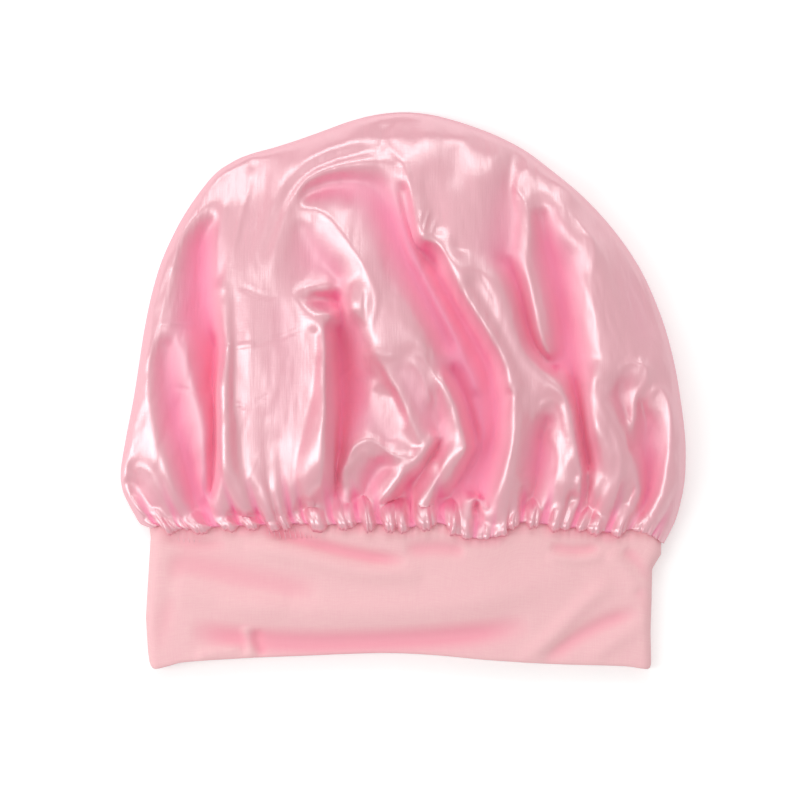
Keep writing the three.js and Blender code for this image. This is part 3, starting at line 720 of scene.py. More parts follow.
def band_point(turn, below, depth):
    """A place in mm: turn 0 to 1 runs along the front from left to right, 1 to 2 back along the table."""
    turn, below, depth = np.broadcast_arrays(turn, below, depth)
    share = below / BAND_DROP
    left = (np.interp(share, *zip(*BAND_LEFT)) - PICTURE_MIDDLE[0]) * PIXEL / MM
    right = (np.interp(share, *zip(*BAND_RIGHT)) - PICTURE_MIDDLE[0]) * PIXEL / MM
    radius = np.interp(share, (0, 1), BAND_END_RADII)
    loft = np.interp(share, (0, 1), BAND_LOFTS)
    straight = (right - left) / 2 - radius
    quarter = math.pi / 2 * radius
    on_front = turn <= 1
    run = np.where(on_front, turn, 2 - turn) * (2 * quarter + 2 * straight) - quarter - straight
    over = np.clip(np.abs(run) - straight, 0, quarter)
    angle = over / radius
    side = np.sign(run)
    x = side * (np.minimum(np.abs(run), straight) + radius * np.sin(angle))
    flat_share = np.clip(x / straight, -1, 1)
    rise = (loft - 2 * radius) * (1 - flat_share**2) ** 2
    slope = (loft - 2 * radius) * 2 * (1 - flat_share**2) * (-2 * flat_share / straight)
    z_front = radius + radius * np.cos(angle) + rise
    z_back = radius - radius * np.cos(angle)
    z = np.where(on_front, z_front, z_back)
    nx = side * np.sin(angle) - np.where(on_front, slope, 0) * (over <= 0)
    nz = np.where(on_front, 1, -1) * np.cos(angle)
    size = np.hypot(nx, nz)
    x, z = x - nx / size * depth, z - nz / size * depth
    x = x + (left + right) / 2
    seam_y = np.interp(x, band_seam[:, 0], band_seam[:, 1])
    hem_y = np.interp(x, band_hem[:, 0], band_hem[:, 1])
    y = seam_y + (hem_y - seam_y) * share
    return np.stack([x, y, z], axis=-1)


# %% [markdown]
# The crown is made of two grids of quads, a front and a back, each started as Blender's own grid and bent into place.
# Columns run like the gathers, from the seam up and outwards. The first rows come from inside the band, turn over its
# upper edge and swell into a lip, which hangs over the band where a fold is full.

# %% Grids
COLUMNS = 420
FRONT_ROWS = 165
LIP_ROWS = 18
FINE_ROWS = 30
NEARLY = 1e-5


def select_only(*pieces):
    """Selects these pieces alone, the last one active."""
    bpy.ops.object.select_all(action="DESELECT")
    for piece in pieces:
        piece.select_set(True)
    bpy.context.view_layer.objects.active = pieces[-1]


def grid_object(name, columns, rows):
    """A new grid, one metre wide, on the floor."""
    bpy.ops.object.select_all(action="DESELECT")
    bpy.ops.mesh.primitive_grid_add(x_subdivisions=columns, y_subdivisions=rows, size=1, location=(0, 0, 0))
    piece = bpy.context.object
    piece.name = piece.data.name = name
    return piece


def grid_shares(piece):
    """Each vertex's share of the width and of the height, from 0 to 1."""
    flat = np.empty(len(piece.data.vertices) * 3)
    piece.data.vertices.foreach_get("co", flat)
    return np.clip(flat.reshape(-1, 3)[:, :2] + 0.5, 0, 1).T


def place_vertices(piece, points_mm):
    """Moves every vertex of a piece to its place in mm."""
    piece.data.vertices.foreach_set("co", (np.asarray(points_mm) * MM).ravel())
    piece.data.update()


def edit_all(piece, operator, **settings):
    """Runs one edit-mode operator on the whole of a piece."""
    select_only(piece)
    bpy.ops.object.mode_set(mode="EDIT")
    bpy.ops.mesh.select_all(action="SELECT")
    operator(**settings)
    bpy.ops.object.mode_set(mode="OBJECT")


def subdivide_edges(piece, cuts, chosen):
    """Cuts the chosen edges of a grid, and the faces beside them with them."""
    bpy.ops.object.mode_set(mode="EDIT")
    bpy.ops.mesh.select_mode(type="EDGE")
    bpy.ops.mesh.select_all(action="DESELECT")
    mesh = bmesh.from_edit_mesh(piece.data)
    for one_edge in mesh.edges:
        one_edge.select_set(chosen([corner.co for corner in one_edge.verts]))
    bmesh.update_edit_mesh(piece.data)
    bpy.ops.mesh.subdivide(number_cuts=cuts)
    bpy.ops.mesh.select_all(action="SELECT")
    bpy.ops.object.mode_set(mode="OBJECT")


def set_painted_shade(piece, values):
    """Stores each vertex's share of painted shade, deepest in the folds, from 0 to 1, for the material to read."""
    layer = piece.data.attributes.new("hollow", "FLOAT", "POINT")
    layer.data.foreach_set("value", np.clip(values, 0, 1))


print("the front has", COLUMNS, "columns and", FRONT_ROWS, "rows")

# %% [markdown]
# The four sides of a grid are joined by a Coons patch, which blends its opposite sides. The hem is its lower side,
# and the outline is cut in three for the other sides. The patch's upper corners then lie on a smooth curve, where its
# cells would be squeezed flat and glint, so the places near them are pushed inwards.

# %% A patch between four lines
SIDE_SHARE = 0.245
CORNER_PUSH = 700.0
CORNER_WIDTH = 0.12
CORNER_HEIGHT = 0.3


def coons(u, v, bottom, top, left, right):
    """Picture places between four lines that bound a patch."""
    low, high = along(bottom, u), along(top, u)
    west, east = along(left, v), along(right, v)
    u, v = u[:, None], v[:, None]
    corners = (1 - u) * (1 - v) * bottom[0] + u * (1 - v) * bottom[-1] + (1 - u) * v * top[0] + u * v * top[-1]
    return (1 - v) * low + v * high + (1 - u) * west + u * east - corners


def off_the_edge(u, v):
    """False for the vertices on the outline, where the front and the back meet."""
    return (np.minimum(u, 1 - u) > NEARLY) & (v < 1 - NEARLY)


def crown_places(u, v, bottom):
    """The patch between a hem and the outline, with room near its corners."""
    places = coons(u, v, bottom, top_side, left_side, right_side)
    for across, ends in ((u, (0.0, 0.004)), (1 - u, (0.996, 1.0))):
        first, last = along(top_side, np.array(ends))
        run = (last - first) / np.linalg.norm(last - first)
        push = CORNER_PUSH * across * (1 - v) * np.exp(-((across / CORNER_WIDTH) ** 2) - ((1 - v) / CORNER_HEIGHT) ** 2)
        places = places + push[:, None] * [-run[1], run[0]]
    return places


even = np.linspace(0, 1, 400)
left_side = along(outline, even * SIDE_SHARE)
right_side = along(outline, 1 - even * SIDE_SHARE)
top_side = along(outline, SIDE_SHARE + even * (1 - 2 * SIDE_SHARE))
hem_length = float(np.linalg.norm(np.diff(hem, axis=0), axis=1).sum() * PIXEL / MM)
print("visible hem", round(hem_length), "mm long")

# %% [markdown]
# Both halves of the crown start in the same way. Their first rows come up between the band's plies and over its edge,
# through a few given places: so far below the seam, and so deep inside the band's outer face, in millimetres. From
# the hem on, the rows climb to the outline, closer together near the hem, where the gathers need them.

# %% Rows of the crown
HEM_CROWDING = 1.15
TUCK = [(7.0, 3.6), (3.5, 3.5), (0.2, 3.4), (-1.2, 2.3)]
seam_turns = np.linspace(0, 1, 600)
seam_xs = band_point(seam_turns, 0.0, 0.0)[:, 0]


def through(knots, share):
    """A place on a smooth curve through knots, for every vertex its own curve."""
    knots = np.concatenate([2 * knots[:1] - knots[1:2], knots, 2 * knots[-1:] - knots[-2:-1]])
    at = np.clip(share, 0, 1) * (len(knots) - 3)
    first = np.minimum(at.astype(int), len(knots) - 4)
    t = (at - first)[:, None]
    one = np.arange(len(share))
    a, b, c, d = (knots[first + k, one] for k in range(4))
    return b + 0.5 * t * (c - a + t * (2 * a - 5 * b + 4 * c - d + t * (3 * (b - c) + d - a)))


def lip_places(turn, row, over_edge, *ends):
    """The first rows: up inside the band, over its edge and on through the ends."""
    knots = [band_point(turn, below, depth) for below, depth in (*TUCK, over_edge)]
    return through(np.stack([*knots, *ends]), row / LIP_ROWS)


def crown_rows(u, row, bottom):
    """Picture places, the same and their foot on the hem in mm, and how far they are from the outline and the hem."""
    v = np.clip((row - LIP_ROWS) / (FRONT_ROWS - LIP_ROWS), 0, 1) ** HEM_CROWDING
    places = crown_places(u, v, bottom)
    flat = to_metres(places) / MM
    foot = to_metres(along(bottom, u)) / MM
    edge = distance_to(places, OUTLINE) * off_the_edge(u, v)
    above = np.linalg.norm(flat - foot, axis=1)
    return places, flat, foot, edge, above


def quarter_round(share):
    """The height of a quarter circle at a share of its radius."""
    return np.sqrt(1 - (1 - np.clip(share, 0, 1)) ** 2)


print("the seam runs from x", round(seam_xs[0]), "to", round(seam_xs[-1]), "mm")

# %% [markdown]
# The front takes its heights from the film. Towards the outline it rounds down to the edge of the flattened bag, and
# towards the hem it rounds down to the lip, whose tip lies on the band. Between them the cloth may not sink below the
# band's upper edge, so it is kept above a floor that starts at the tip and falls away up the crown. The logarithm
# takes the higher of the two heights with a soft change between them, where a plain maximum would leave a crease.

# %% Heights of the front
EDGE_HEIGHT = 5.0
EDGE_ROUND = 8.5
LIP_ROUND = 2.6
LIP_RISE = 1.0
LIP_FADE = 0.02
LIP_OVER_EDGE = (-0.9, 0.6)
UNDER_LIP = 0.55
CLEARANCE = 0.4
HANG = (0.3, 12)
HEM_SPARE = 0.3
HEM_FALL = 0.07
HEM_LEVEL = 2


def crown_front(u, row):
    """Places of the front in mm, and how far each is above the hem and inside the outline."""
    places, flat, foot, edge, above = crown_rows(u, row, hem)
    turn = np.interp(foot[:, 0], seam_xs, seam_turns)
    seam_at = band_point(turn, 0.0, 0.0)
    hang = np.clip(seam_at[:, 1] - foot[:, 1], *HANG)
    tip_z = seam_at[:, 2] + LIP_RISE * np.clip(np.minimum(u, 1 - u) / LIP_FADE, 0, 1)
    under = band_point(turn, hang * UNDER_LIP, -CLEARANCE)
    lip = lip_places(turn, row, LIP_OVER_EDGE, under, np.column_stack([foot, tip_z]))
    film_z = sample(crown_film, places) + crease_height(places)
    z = EDGE_HEIGHT + (film_z - EDGE_HEIGHT) * quarter_round(edge / EDGE_ROUND)
    least = tip_z + HEM_SPARE - HEM_FALL * np.clip(above - HEM_LEVEL, 0, None) ** 2
    z = np.logaddexp(z, least)
    z = tip_z + (z - tip_z) * quarter_round(above / LIP_ROUND)
    points = np.where((row < LIP_ROWS)[:, None], lip, np.column_stack([flat, z]))
    return points, above, edge


def surface_normals(u, row):
    """Which way the crown's front faces, from three places close together."""
    beside, further = np.where(u < 0.5, 0.002, -0.002), np.where(row < FRONT_ROWS - 1, 0.4, -0.4)
    here = crown_front(u, row)[0]
    across = (crown_front(u + beside, row)[0] - here) / beside[:, None]
    up = (crown_front(u, row + further)[0] - here) / further[:, None]
    normal = np.cross(across, up)
    return normal / np.maximum(np.linalg.norm(normal, axis=1, keepdims=True), 1e-12)


top_of_crown = crown_front(np.array([0.5]), np.array([FRONT_ROWS / 2]))[0][0]
print("the middle of the crown is", round(top_of_crown[2], 1), "mm high")

# %% [markdown]
# Now the grid takes its shape. Its lower rows are cut finer for the gathers. Gathers and dents then push the cloth
# out along its own normals, so that they stand off a steep fold as they do off a flat one, and both fade towards the
# outline. The narrow gaps between gathers get the same painted pink shade as the valleys, so they are added to the
# valleys' painted shade.

# %% The crown's front
GATHER_EDGE = 12.0
CRUMPLE_EDGE = 6.0
SINK, SINK_SLOPE = 0.15, 0.35
GAP_LEVEL, GAP_GAIN = 0.1, 1.3
GAP_START, GAP_REACH = 1.2, 26
front = grid_object("satin_crown", COLUMNS, FRONT_ROWS)
fine_top = FINE_ROWS / FRONT_ROWS - 0.5
subdivide_edges(front, 1, lambda ends: abs(ends[0].y - ends[1].y) < NEARLY and ends[0].y < fine_top)
u, v = grid_shares(front)
row = v * FRONT_ROWS
points, above, edge = crown_front(u, row)
gathers = gather_height(u * hem_length, above)
fade = np.clip(edge / GATHER_EDGE, 0, 1) * np.clip(2 * row / LIP_ROWS - 1, 0, 1)
relief = np.maximum(gathers * fade, -SINK - SINK_SLOPE * above)
relief += crumple(u, v, above) * np.clip(edge / CRUMPLE_EDGE, 0, 1) * (row > LIP_ROWS)
places = to_picture(points[:, :2] * MM)
points += surface_normals(u, row) * relief[:, None]
place_vertices(front, points)
# painted shade: the gaps between gathers are painted the deeper pink of the valleys
gaps = np.clip(GAP_LEVEL - GAP_GAIN * gathers, 0, 1) * np.clip(GAP_START - above / GAP_REACH, 0, 1)
set_painted_shade(front, sample(painted_valley_shade, places) * (row > LIP_ROWS) + gaps)
print("front", len(points), "vertices, from", points.min(axis=0).round(1), "to", points.max(axis=0).round(1), "mm")

# %% [markdown]
# The back lies on the table. The cloth above presses its folds nearly flat, so only the gathers and a few low waves
# are left, and it rounds up to meet the front at the outline. It needs fewer rows. Its two side columns are cut
# finer, so that they meet every vertex of the front, and then both are joined and their doubles merged.

# %% The crown's back
BACK_HEM = [(147, 526), (165, 519), (240, 516), (403, 516), (560, 519), (640, 527), (663, 543)]
BACK_SHARE = 5
BACK_ROUND = 9.0
BACK_OVER_EDGE = (-2.4, 1.0)
BACK_START = 500
WAVE_HEIGHT, WAVE_PITCH, WAVE_REACH = 1.5, 17.0, 140
PRESSED_GATHERS = 1.1
FLAT_BY_HEM = 5
LEAST_OFF_TABLE = 0.2
back_hem = smooth_line(BACK_HEM, 40)


def crown_back(u, row):
    """Places of the back in mm."""
    _, flat, foot, edge, above = crown_rows(u, row, back_hem)
    turn = 2 - np.interp(foot[:, 0], seam_xs, seam_turns)
    lip = lip_places(turn, row, BACK_OVER_EDGE, np.column_stack([foot, np.full(len(u), CLEARANCE)]))
    inner = quarter_round(edge / BACK_ROUND)
    run = u * hem_length + BACK_START
    waves = WAVE_HEIGHT * (0.5 + 0.5 * uneven(run / WAVE_PITCH, 2.2)) * np.clip(1 - above / WAVE_REACH, 0, 1)
    pleats = PRESSED_GATHERS * np.abs(gather_height(run, above))
    swell = (waves + pleats) * inner * np.clip(above / FLAT_BY_HEM, 0, 1)
    z = CLEARANCE + (EDGE_HEIGHT - CLEARANCE) * (1 - inner) + swell
    return np.where((row < LIP_ROWS)[:, None], lip, np.column_stack([flat, z]))


back = grid_object("crown_back", COLUMNS, FRONT_ROWS // BACK_SHARE)
subdivide_edges(
    back, BACK_SHARE - 1, lambda ends: abs(abs(ends[0].x) - 0.5) < NEARLY and abs(ends[0].x - ends[1].x) < NEARLY
)
edit_all(back, bpy.ops.mesh.flip_normals)
u, v = grid_shares(back)
row = np.rint(v * FRONT_ROWS)
at_side = (u < NEARLY) | (u > 1 - NEARLY)
points = np.where(at_side[:, None], crown_front(u, row)[0], crown_back(u, row))
points[:, 2] = np.maximum(points[:, 2], LEAST_OFF_TABLE)
place_vertices(back, points)
select_only(back, front)
bpy.ops.object.join()
crown = front
edit_all(crown, bpy.ops.mesh.remove_doubles, threshold=0.01 * MM)
print("crown", len(crown.data.vertices), "vertices,", len(crown.data.polygons), "faces")

# %% [markdown]
# Satin is drawn by its threads, so the mesh gets a UV map that is flat cloth, in metres: the straight grain of the
# panel, laid on it straight from above. Blender's unwrapping would stretch it less, but it would need cuts, and the
# weave would jump at each of them.

# %% The crown's grain
def flat_uv(piece):
    """A UV map in metres, straight down on the piece."""
    while piece.data.uv_layers:
        piece.data.uv_layers.remove(piece.data.uv_layers[0])
    layer = piece.data.uv_layers.new(name="grain")
    places = np.empty(len(piece.data.vertices) * 3)
    piece.data.vertices.foreach_get("co", places)
    corners = np.empty(len(piece.data.loops), dtype=int)
    piece.data.loops.foreach_get("vertex_index", corners)
    layer.data.foreach_set("uv", places.reshape(-1, 3)[corners, :2].ravel())


flat_uv(crown)
select_only(crown)
bpy.ops.object.shade_smooth()
print("grain runs along y, over", len(crown.data.loops), "corners")

# %% [markdown]
# The band's strip starts at the cut edge inside the seam, turns over at the seam, runs down inside, folds at the
# hem, comes up outside and turns back into the seam. Each row of the grid is one place in that section, and each
# column one place round the ring. A Solidify modifier could give one ply its other face, but not the folded hem.

# %% The band
HEM_FOLD = 1.3
SECTION = [
    # below the seam and inside the outer face, in mm
    (8.0, 1.9), (4.0, 1.9), (1.4, 1.9), (0.7, 1.8), (0.45, 1.5), (0.7, 1.2), (1.4, 1.1), (4.0, 1.1), (12.0, 1.1),
    (30.0, 1.2), (50.0, 1.6), (60.0, 2.2), (66.0, 2.75), (BAND_DROP - HEM_FOLD, 0.3 + 2 * HEM_FOLD),
    (BAND_DROP - 0.3 * HEM_FOLD, 0.3 + 1.7 * HEM_FOLD), (BAND_DROP, 0.3 + HEM_FOLD),
    (BAND_DROP - 0.3 * HEM_FOLD, 0.3 + 0.3 * HEM_FOLD), (BAND_DROP - HEM_FOLD, 0.3), (66.0, 0.25), (60.0, 0.3),
    (50.0, 0.3), (30.0, 0.3), (12.0, 0.3), (4.0, 0.3), (1.4, 0.35), (0.4, 0.7), (0.05, 1.1), (-0.05, 1.6),
    (0.1, 2.1), (0.6, 2.5), (1.4, 2.7), (4.0, 2.7), (8.0, 2.7),
]
BAND_STATIONS = 460
BAND_ROWS = 150
print("the strip's section has", len(SECTION), "places")

# %% [markdown]
# The jersey is loose on its front, so it has broad, soft dents and low folds, mostly level, and some that slant at
# the right end. They are drawn like the crown's creases: a height, a width and a line. Right under the seam the
# overlock stitching puckers the knit.

# %% The band's dents
BAND_RELIEF = [
    # rise in mm, width in pixels, line
    (-3.2, 12.0, [(190, 628), (235, 636), (300, 641), (360, 640), (420, 637), (475, 632), (530, 622)]),
    (1.6, 13.0, [(215, 606), (300, 608), (380, 609), (460, 603), (540, 590)]),
    (1.6, 5.5, [(246, 624), (249, 640), (252, 656)]),
    (-1.2, 5.0, [(257, 628), (260, 642), (263, 655)]),
    (1.4, 6.0, [(196, 658), (216, 651), (244, 647)]),
    (-2.8, 7.0, [(262, 529), (290, 535), (315, 542), (345, 550), (375, 556), (408, 559)]),
    (1.8, 9.0, [(245, 545), (290, 553), (325, 562), (365, 571), (425, 574)]),
    (-1.8, 8.0, [(404, 548), (436, 546), (465, 549)]),
    (1.8, 9.0, [(515, 662), (545, 642), (566, 620), (586, 600), (612, 580)]),
    (-2.0, 8.0, [(540, 660), (565, 643), (588, 629), (612, 618), (642, 610)]),
    (1.4, 9.0, [(585, 660), (612, 642), (634, 628), (652, 612)]),
    (-1.6, 5.5, [(548, 545), (572, 549), (598, 546)]),
    (1.2, 5.5, [(545, 555), (574, 559), (604, 555)]),
    (-1.8, 5.5, [(622, 548), (638, 562), (650, 580)]),
    (1.4, 6.5, [(606, 552), (624, 568), (638, 590)]),
    (-1.4, 6.5, [(636, 586), (646, 604), (650, 628)]),
    (-1.6, 15.0, [(168, 556), (240, 576), (320, 596)]),
    (1.4, 14.0, [(152, 582), (215, 596), (290, 606)]),
    (-1.2, 9.0, [(156, 650), (168, 606), (178, 552)]),
    (1.0, 18.0, [(420, 582), (500, 586), (580, 572)]),
    (-1.2, 6.5, [(158, 535), (190, 541), (228, 543)]),
]
PUCKER_PITCH, PUCKER_HEIGHT, PUCKER_REACH = 5.2, 0.45, 13.0


def band_relief(points, below):
    """Soft folds of the front, pressed in from above, and the small puckers under the seam."""
    places = to_picture(points[:, :2] * MM)
    rise = np.zeros(len(points))
    for height, width, line in BAND_RELIEF:
        rise += swell_along(places, line, height, width)
    phase = 2 * math.pi * (points[:, 0] / PUCKER_PITCH + 0.8 * uneven(points[:, 0] / 14, 5.1))
    size = 1 + 0.5 * uneven(points[:, 0] / 23, 8.2)
    rise += PUCKER_HEIGHT * size * np.sin(phase) * np.clip(1 - below / PUCKER_REACH, 0, 1) ** 1.6
    return rise


print(len(BAND_RELIEF), "dents and folds in the band")

# %% [markdown]
# Dents go into the front alone and fade at the band's round ends. In the dents, and in a strip right under the crown's
# edge, light bounces from cloth to cloth and turns pinker, so a pinker colour is painted there: painted shade in the
# dents, and painted shade with a painted pink reflection of the satin under its edge. Both go into the band's
# hollow attribute.

# %% The band's mesh
LEAST_BAND_HEIGHT = 0.15
DENT_DEPTH, DENT_MOST = 4, 0.7
SHADE_START, SHADE_REACH = 1.15, 7
SHADE_SHARE = 0.7
band = grid_object("jersey_band", BAND_STATIONS, BAND_ROWS)
u, v = grid_shares(band)
section = smooth_line(np.array(SECTION), 20)
below, depth = along(section, v).T
turn = 2 * u
points = band_point(turn, below, depth)
on_front = np.clip(np.sin(math.pi * turn) * 4, 0, 1) * (turn <= 1)
relief = band_relief(points, np.maximum(below, 0)) * on_front
points[:, 2] += relief
points[:, 2] = np.maximum(points[:, 2], LEAST_BAND_HEIGHT)
place_vertices(band, points)
# painted shade: a pinker strip is painted right under the crown's edge, with the satin's pink painted in as a
# reflection
shade = np.clip(SHADE_START - below / SHADE_REACH, 0, 1) * (0.75 + 0.35 * uneven(points[:, 0] / 9, 3.3)) * (depth < 1)
set_painted_shade(band, np.clip(-relief / DENT_DEPTH, 0, DENT_MOST) + SHADE_SHARE * shade * on_front)
edit_all(band, bpy.ops.mesh.remove_doubles, threshold=0.005 * MM)
bpy.ops.object.shade_smooth()
print("band", len(band.data.vertices), "vertices,", len(band.data.polygons), "faces")

# %% [markdown]
# A knit follows the strip, so the band's UV map is the strip itself: the grid's own map, from 0 to 1, stretched to
# the strip's flat size in metres, round the ring and across it.

# %% The band's grain
BAND_ROUND = 0.53
BAND_CUT = 0.162
strip = band.data.uv_layers[0]
strip.name = "strip"
shares = np.empty(len(band.data.loops) * 2)
strip.data.foreach_get("uv", shares)
strip.data.foreach_set("uv", (shares.reshape(-1, 2) * [BAND_ROUND, BAND_CUT]).ravel())
print("band's strip", BAND_ROUND, "by", BAND_CUT, "m")

# %% [markdown]
# Inside the seam lie two threads. The gathering thread runs in and out of the crown's edge, and the overlock thread
# wraps the cut edges in loops. A thread is a curve with a round bevel, turned into a mesh, which keeps an even
# thickness through every bend. Extruding a circle along the path would not.

# %% A thread along a path
THREAD_RADIUS = 0.16


def tube(name, path_mm):
    """A closed thread along a closed path."""
    curve = bpy.data.curves.new(name, "CURVE")
    curve.dimensions = "3D"
    curve.bevel_depth = THREAD_RADIUS * MM
    curve.bevel_resolution = 1
    spline = curve.splines.new("POLY")
    spline.points.add(len(path_mm) - 1)
    spline.use_cyclic_u = True
    spline.points.foreach_set("co", np.column_stack([path_mm * MM, np.ones(len(path_mm))]).ravel())
    piece = bpy.data.objects.new(name, curve)
    bpy.context.collection.objects.link(piece)
    select_only(piece)
    bpy.ops.object.convert(target="MESH")
    bpy.ops.object.shade_smooth()
    piece.name = piece.data.name = name
    return piece


print("threads are", 2 * THREAD_RADIUS, "mm thick")

# %% [markdown]
# The overlock's path climbs out over the cut edges and comes back, once for each stitch. The gathering thread's path
# is a wave through the crown's ply. Both are given round the ring, below the seam and inside the band's outer face.

# %% Overlock and gathering thread
STITCHES = 208
LOOP = [
    # share of a stitch, below the seam, depth: out over the cut edge and back
    (0.0, 3.0, 1.45), (0.18, 5.5, 1.35), (0.34, 8.5, 1.6), (0.5, 9.0, 2.9), (0.66, 8.5, 4.3), (0.84, 5.5, 4.35),
    (0.96, 2.9, 2.9),
]
RUNNING_STITCHES = 150
RUNNING_STEPS = 6
RUNNING_BELOW, RUNNING_DEPTH, RUNNING_WAVE = 1.9, 3.45, 0.55


def looper_path():
    """The overlock's loops, all round the seam."""
    path = [(2 * (stitch + share) / STITCHES, down, deep) for stitch in range(STITCHES) for share, down, deep in LOOP]
    return np.array(path).T


def running_path():
    """The gathering thread's wave, all round the seam."""
    turn = np.linspace(0, 2, RUNNING_STITCHES * RUNNING_STEPS, endpoint=False)
    wave = np.sin(math.pi * turn * RUNNING_STITCHES)
    return turn, np.full(len(turn), RUNNING_BELOW), RUNNING_DEPTH + RUNNING_WAVE * wave


overlock = tube("overlock_stitching", band_point(*looper_path()))
gathering = tube("gathering_stitches", band_point(*running_path()))
print("threads", len(overlock.data.polygons), "and", len(gathering.data.polygons), "faces")

# %% [markdown]
# Colours are written as the hex values of the photograph's pinks and turned to linear light by one function. A second
# small function adds a node with its settings and links, which is all that the materials need.

# %% Helpers for materials
def linear(hex_colour):
    """A hex colour in linear light, with full alpha."""
    channels = [int(hex_colour[i : i + 2], 16) / 255 for i in (1, 3, 5)]
    return (*[c / 12.92 if c <= 0.04045 else ((c + 0.055) / 1.055) ** 2.4 for c in channels], 1)


def node(tree, kind, settings=None, **inputs):
    """Adds a node. Inputs go by name, or by number as i0, i1: a socket is linked, and any other value is set."""
    new = tree.nodes.new(kind)
    for name, value in (settings or {}).items():
        setattr(new, name, value)
    for name, value in inputs.items():
        numbered = name[0] == "i" and name[1:].isdigit()
        socket = new.inputs[int(name[1:]) if numbered else name.replace("_", " ")]
        if isinstance(value, bpy.types.NodeSocket):
            tree.links.new(value, socket)
        else:
            socket.default_value = value
    return new


def new_material(name):
    """A material, its node tree and its shader."""
    material = bpy.data.materials.new(name)
    material.use_nodes = True
    tree = material.node_tree
    shader = tree.nodes["Principled BSDF"]
    return material, tree, shader


print("white is", linear("#FFFFFF"), "in linear light")

# %% [markdown]
# Polyester satin: long floats of a fine, bright filament, woven so that almost only the warp lies on the face. That
# gives a soft, streaky gloss across the floats, and a deep, saturated colour in the valleys, where cloth mirrors cloth.
# Polyester's index of refraction is about 1.6. It is raised to 2.7, until the gloss of the smooth filaments is as
# strong as it looks in the photograph. The floats draw the gloss out to one side, which is the anisotropy. The colour
# of the valleys is painted: deep in a fold a stronger pink is painted in, as painted shade and painted reflection of
# the pink walls, and the gloss is dull.

# %% Satin
SATIN_PINK = "#F0829B"
# the deeper pink painted into the folds, as painted shade and painted reflection
SATIN_PAINTED_FOLD_SHADE = "#FF62A0"
SATIN_ROUGHNESS = 0.4
SATIN_HOLLOW_ROUGHNESS = 0.8
SATIN_IOR = 2.7
SATIN_ANISOTROPY = 0.7
satin, tree, shader = new_material("polyester_satin")
# painted shade: the hollow attribute mixes a deeper pink into the folds, as painted shade and painted reflection, and
# raises the roughness there
hollow = node(tree, "ShaderNodeAttribute", {"attribute_name": "hollow"}).outputs["Fac"]
pink = node(
    tree, "ShaderNodeMix", {"data_type": "RGBA"}, i0=hollow, i6=linear(SATIN_PINK), i7=linear(SATIN_PAINTED_FOLD_SHADE)
)
tree.links.new(pink.outputs[2], shader.inputs["Base Color"])
gloss = node(tree, "ShaderNodeMapRange", i0=hollow, i1=0.0, i2=1.0, i3=SATIN_ROUGHNESS, i4=SATIN_HOLLOW_ROUGHNESS)
tree.links.new(gloss.outputs[0], shader.inputs["Roughness"])
shader.inputs["IOR"].default_value = SATIN_IOR
shader.inputs["Specular IOR Level"].default_value = 1.0
shader.inputs["Anisotropic"].default_value = SATIN_ANISOTROPY
tangent = node(tree, "ShaderNodeTangent", {"direction_type": "UV_MAP", "uv_map": "grain"})
tree.links.new(tangent.outputs["Tangent"], shader.inputs["Tangent"])
crown.data.materials.append(satin)
print("satin is", SATIN_PINK, "in the light and", SATIN_PAINTED_FOLD_SHADE, "in the folds")

# %% [markdown]
# The real threads are finer than 0.1 mm and too fine to show, so they are drawn coarser, as streaks 0.9 mm wide: long
# ones for the floats of the warp, and short ones across them, at a quarter of the strength, for the weft that binds
# them. Filaments bunch up unevenly, so both are noise, stretched one way, where a wave texture would look like ribs.
# A bump is enough for them, because they never show at the cloth's edge.

# %% The satin's weave
FLOAT_WIDTH, FLOAT_LENGTH = 0.9 * MM, 14 * MM
PICK_WIDTH, PICK_LENGTH = 0.9 * MM, 5 * MM
PICK_SHARE = 0.25
STREAK_HEIGHT = 0.3 * MM
STREAK_STRENGTH = 0.5
grain = node(tree, "ShaderNodeUVMap", {"uv_map": "grain"})
floats = node(tree, "ShaderNodeMapping", i0=grain.outputs[0], i3=(1 / FLOAT_WIDTH, 1 / FLOAT_LENGTH, 1))
streaks = node(tree, "ShaderNodeTexNoise", Vector=floats.outputs[0], Scale=1.0, Detail=2.0, Roughness=0.6)
picks = node(tree, "ShaderNodeMapping", i0=grain.outputs[0], i3=(1 / PICK_LENGTH, 1 / PICK_WIDTH, 1))
cross = node(tree, "ShaderNodeTexNoise", Vector=picks.outputs[0], Scale=1.0, Detail=1.0, Roughness=0.5)
woven = node(tree, "ShaderNodeMix", i0=PICK_SHARE, i2=streaks.outputs[0], i3=cross.outputs[0])
bump = node(tree, "ShaderNodeBump", Strength=STREAK_STRENGTH, Distance=STREAK_HEIGHT, Height=woven.outputs[0])
tree.links.new(bump.outputs[0], shader.inputs["Normal"])
print("satin's streaks are", round(FLOAT_WIDTH / MM, 2), "mm wide and", round(FLOAT_LENGTH / MM), "mm long")

# %% [markdown]
# Jersey is knitted from a spun yarn, so it is matte and a little fuzzy. The fuzz catches light that grazes it, which
# is the sheen. Its stitches stand in columns, the wales, and lie in rows, the courses. Real ones are about 0.3 mm
# wide and too fine to show, so they are drawn coarser, 0.6 and 0.7 mm wide, as stretched noise and not as single
# loops. The colour is painted a little darker between the stitches than on their tops, as painted shade, and in the
# dents and under the crown's edge a pinker colour is painted in, as painted shade and a painted pink reflection of
# the satin.

# %% Jersey
JERSEY_PINK = "#FDCCCF"
# the painted shade between the stitches
JERSEY_SHADE = "#F9C2C9"
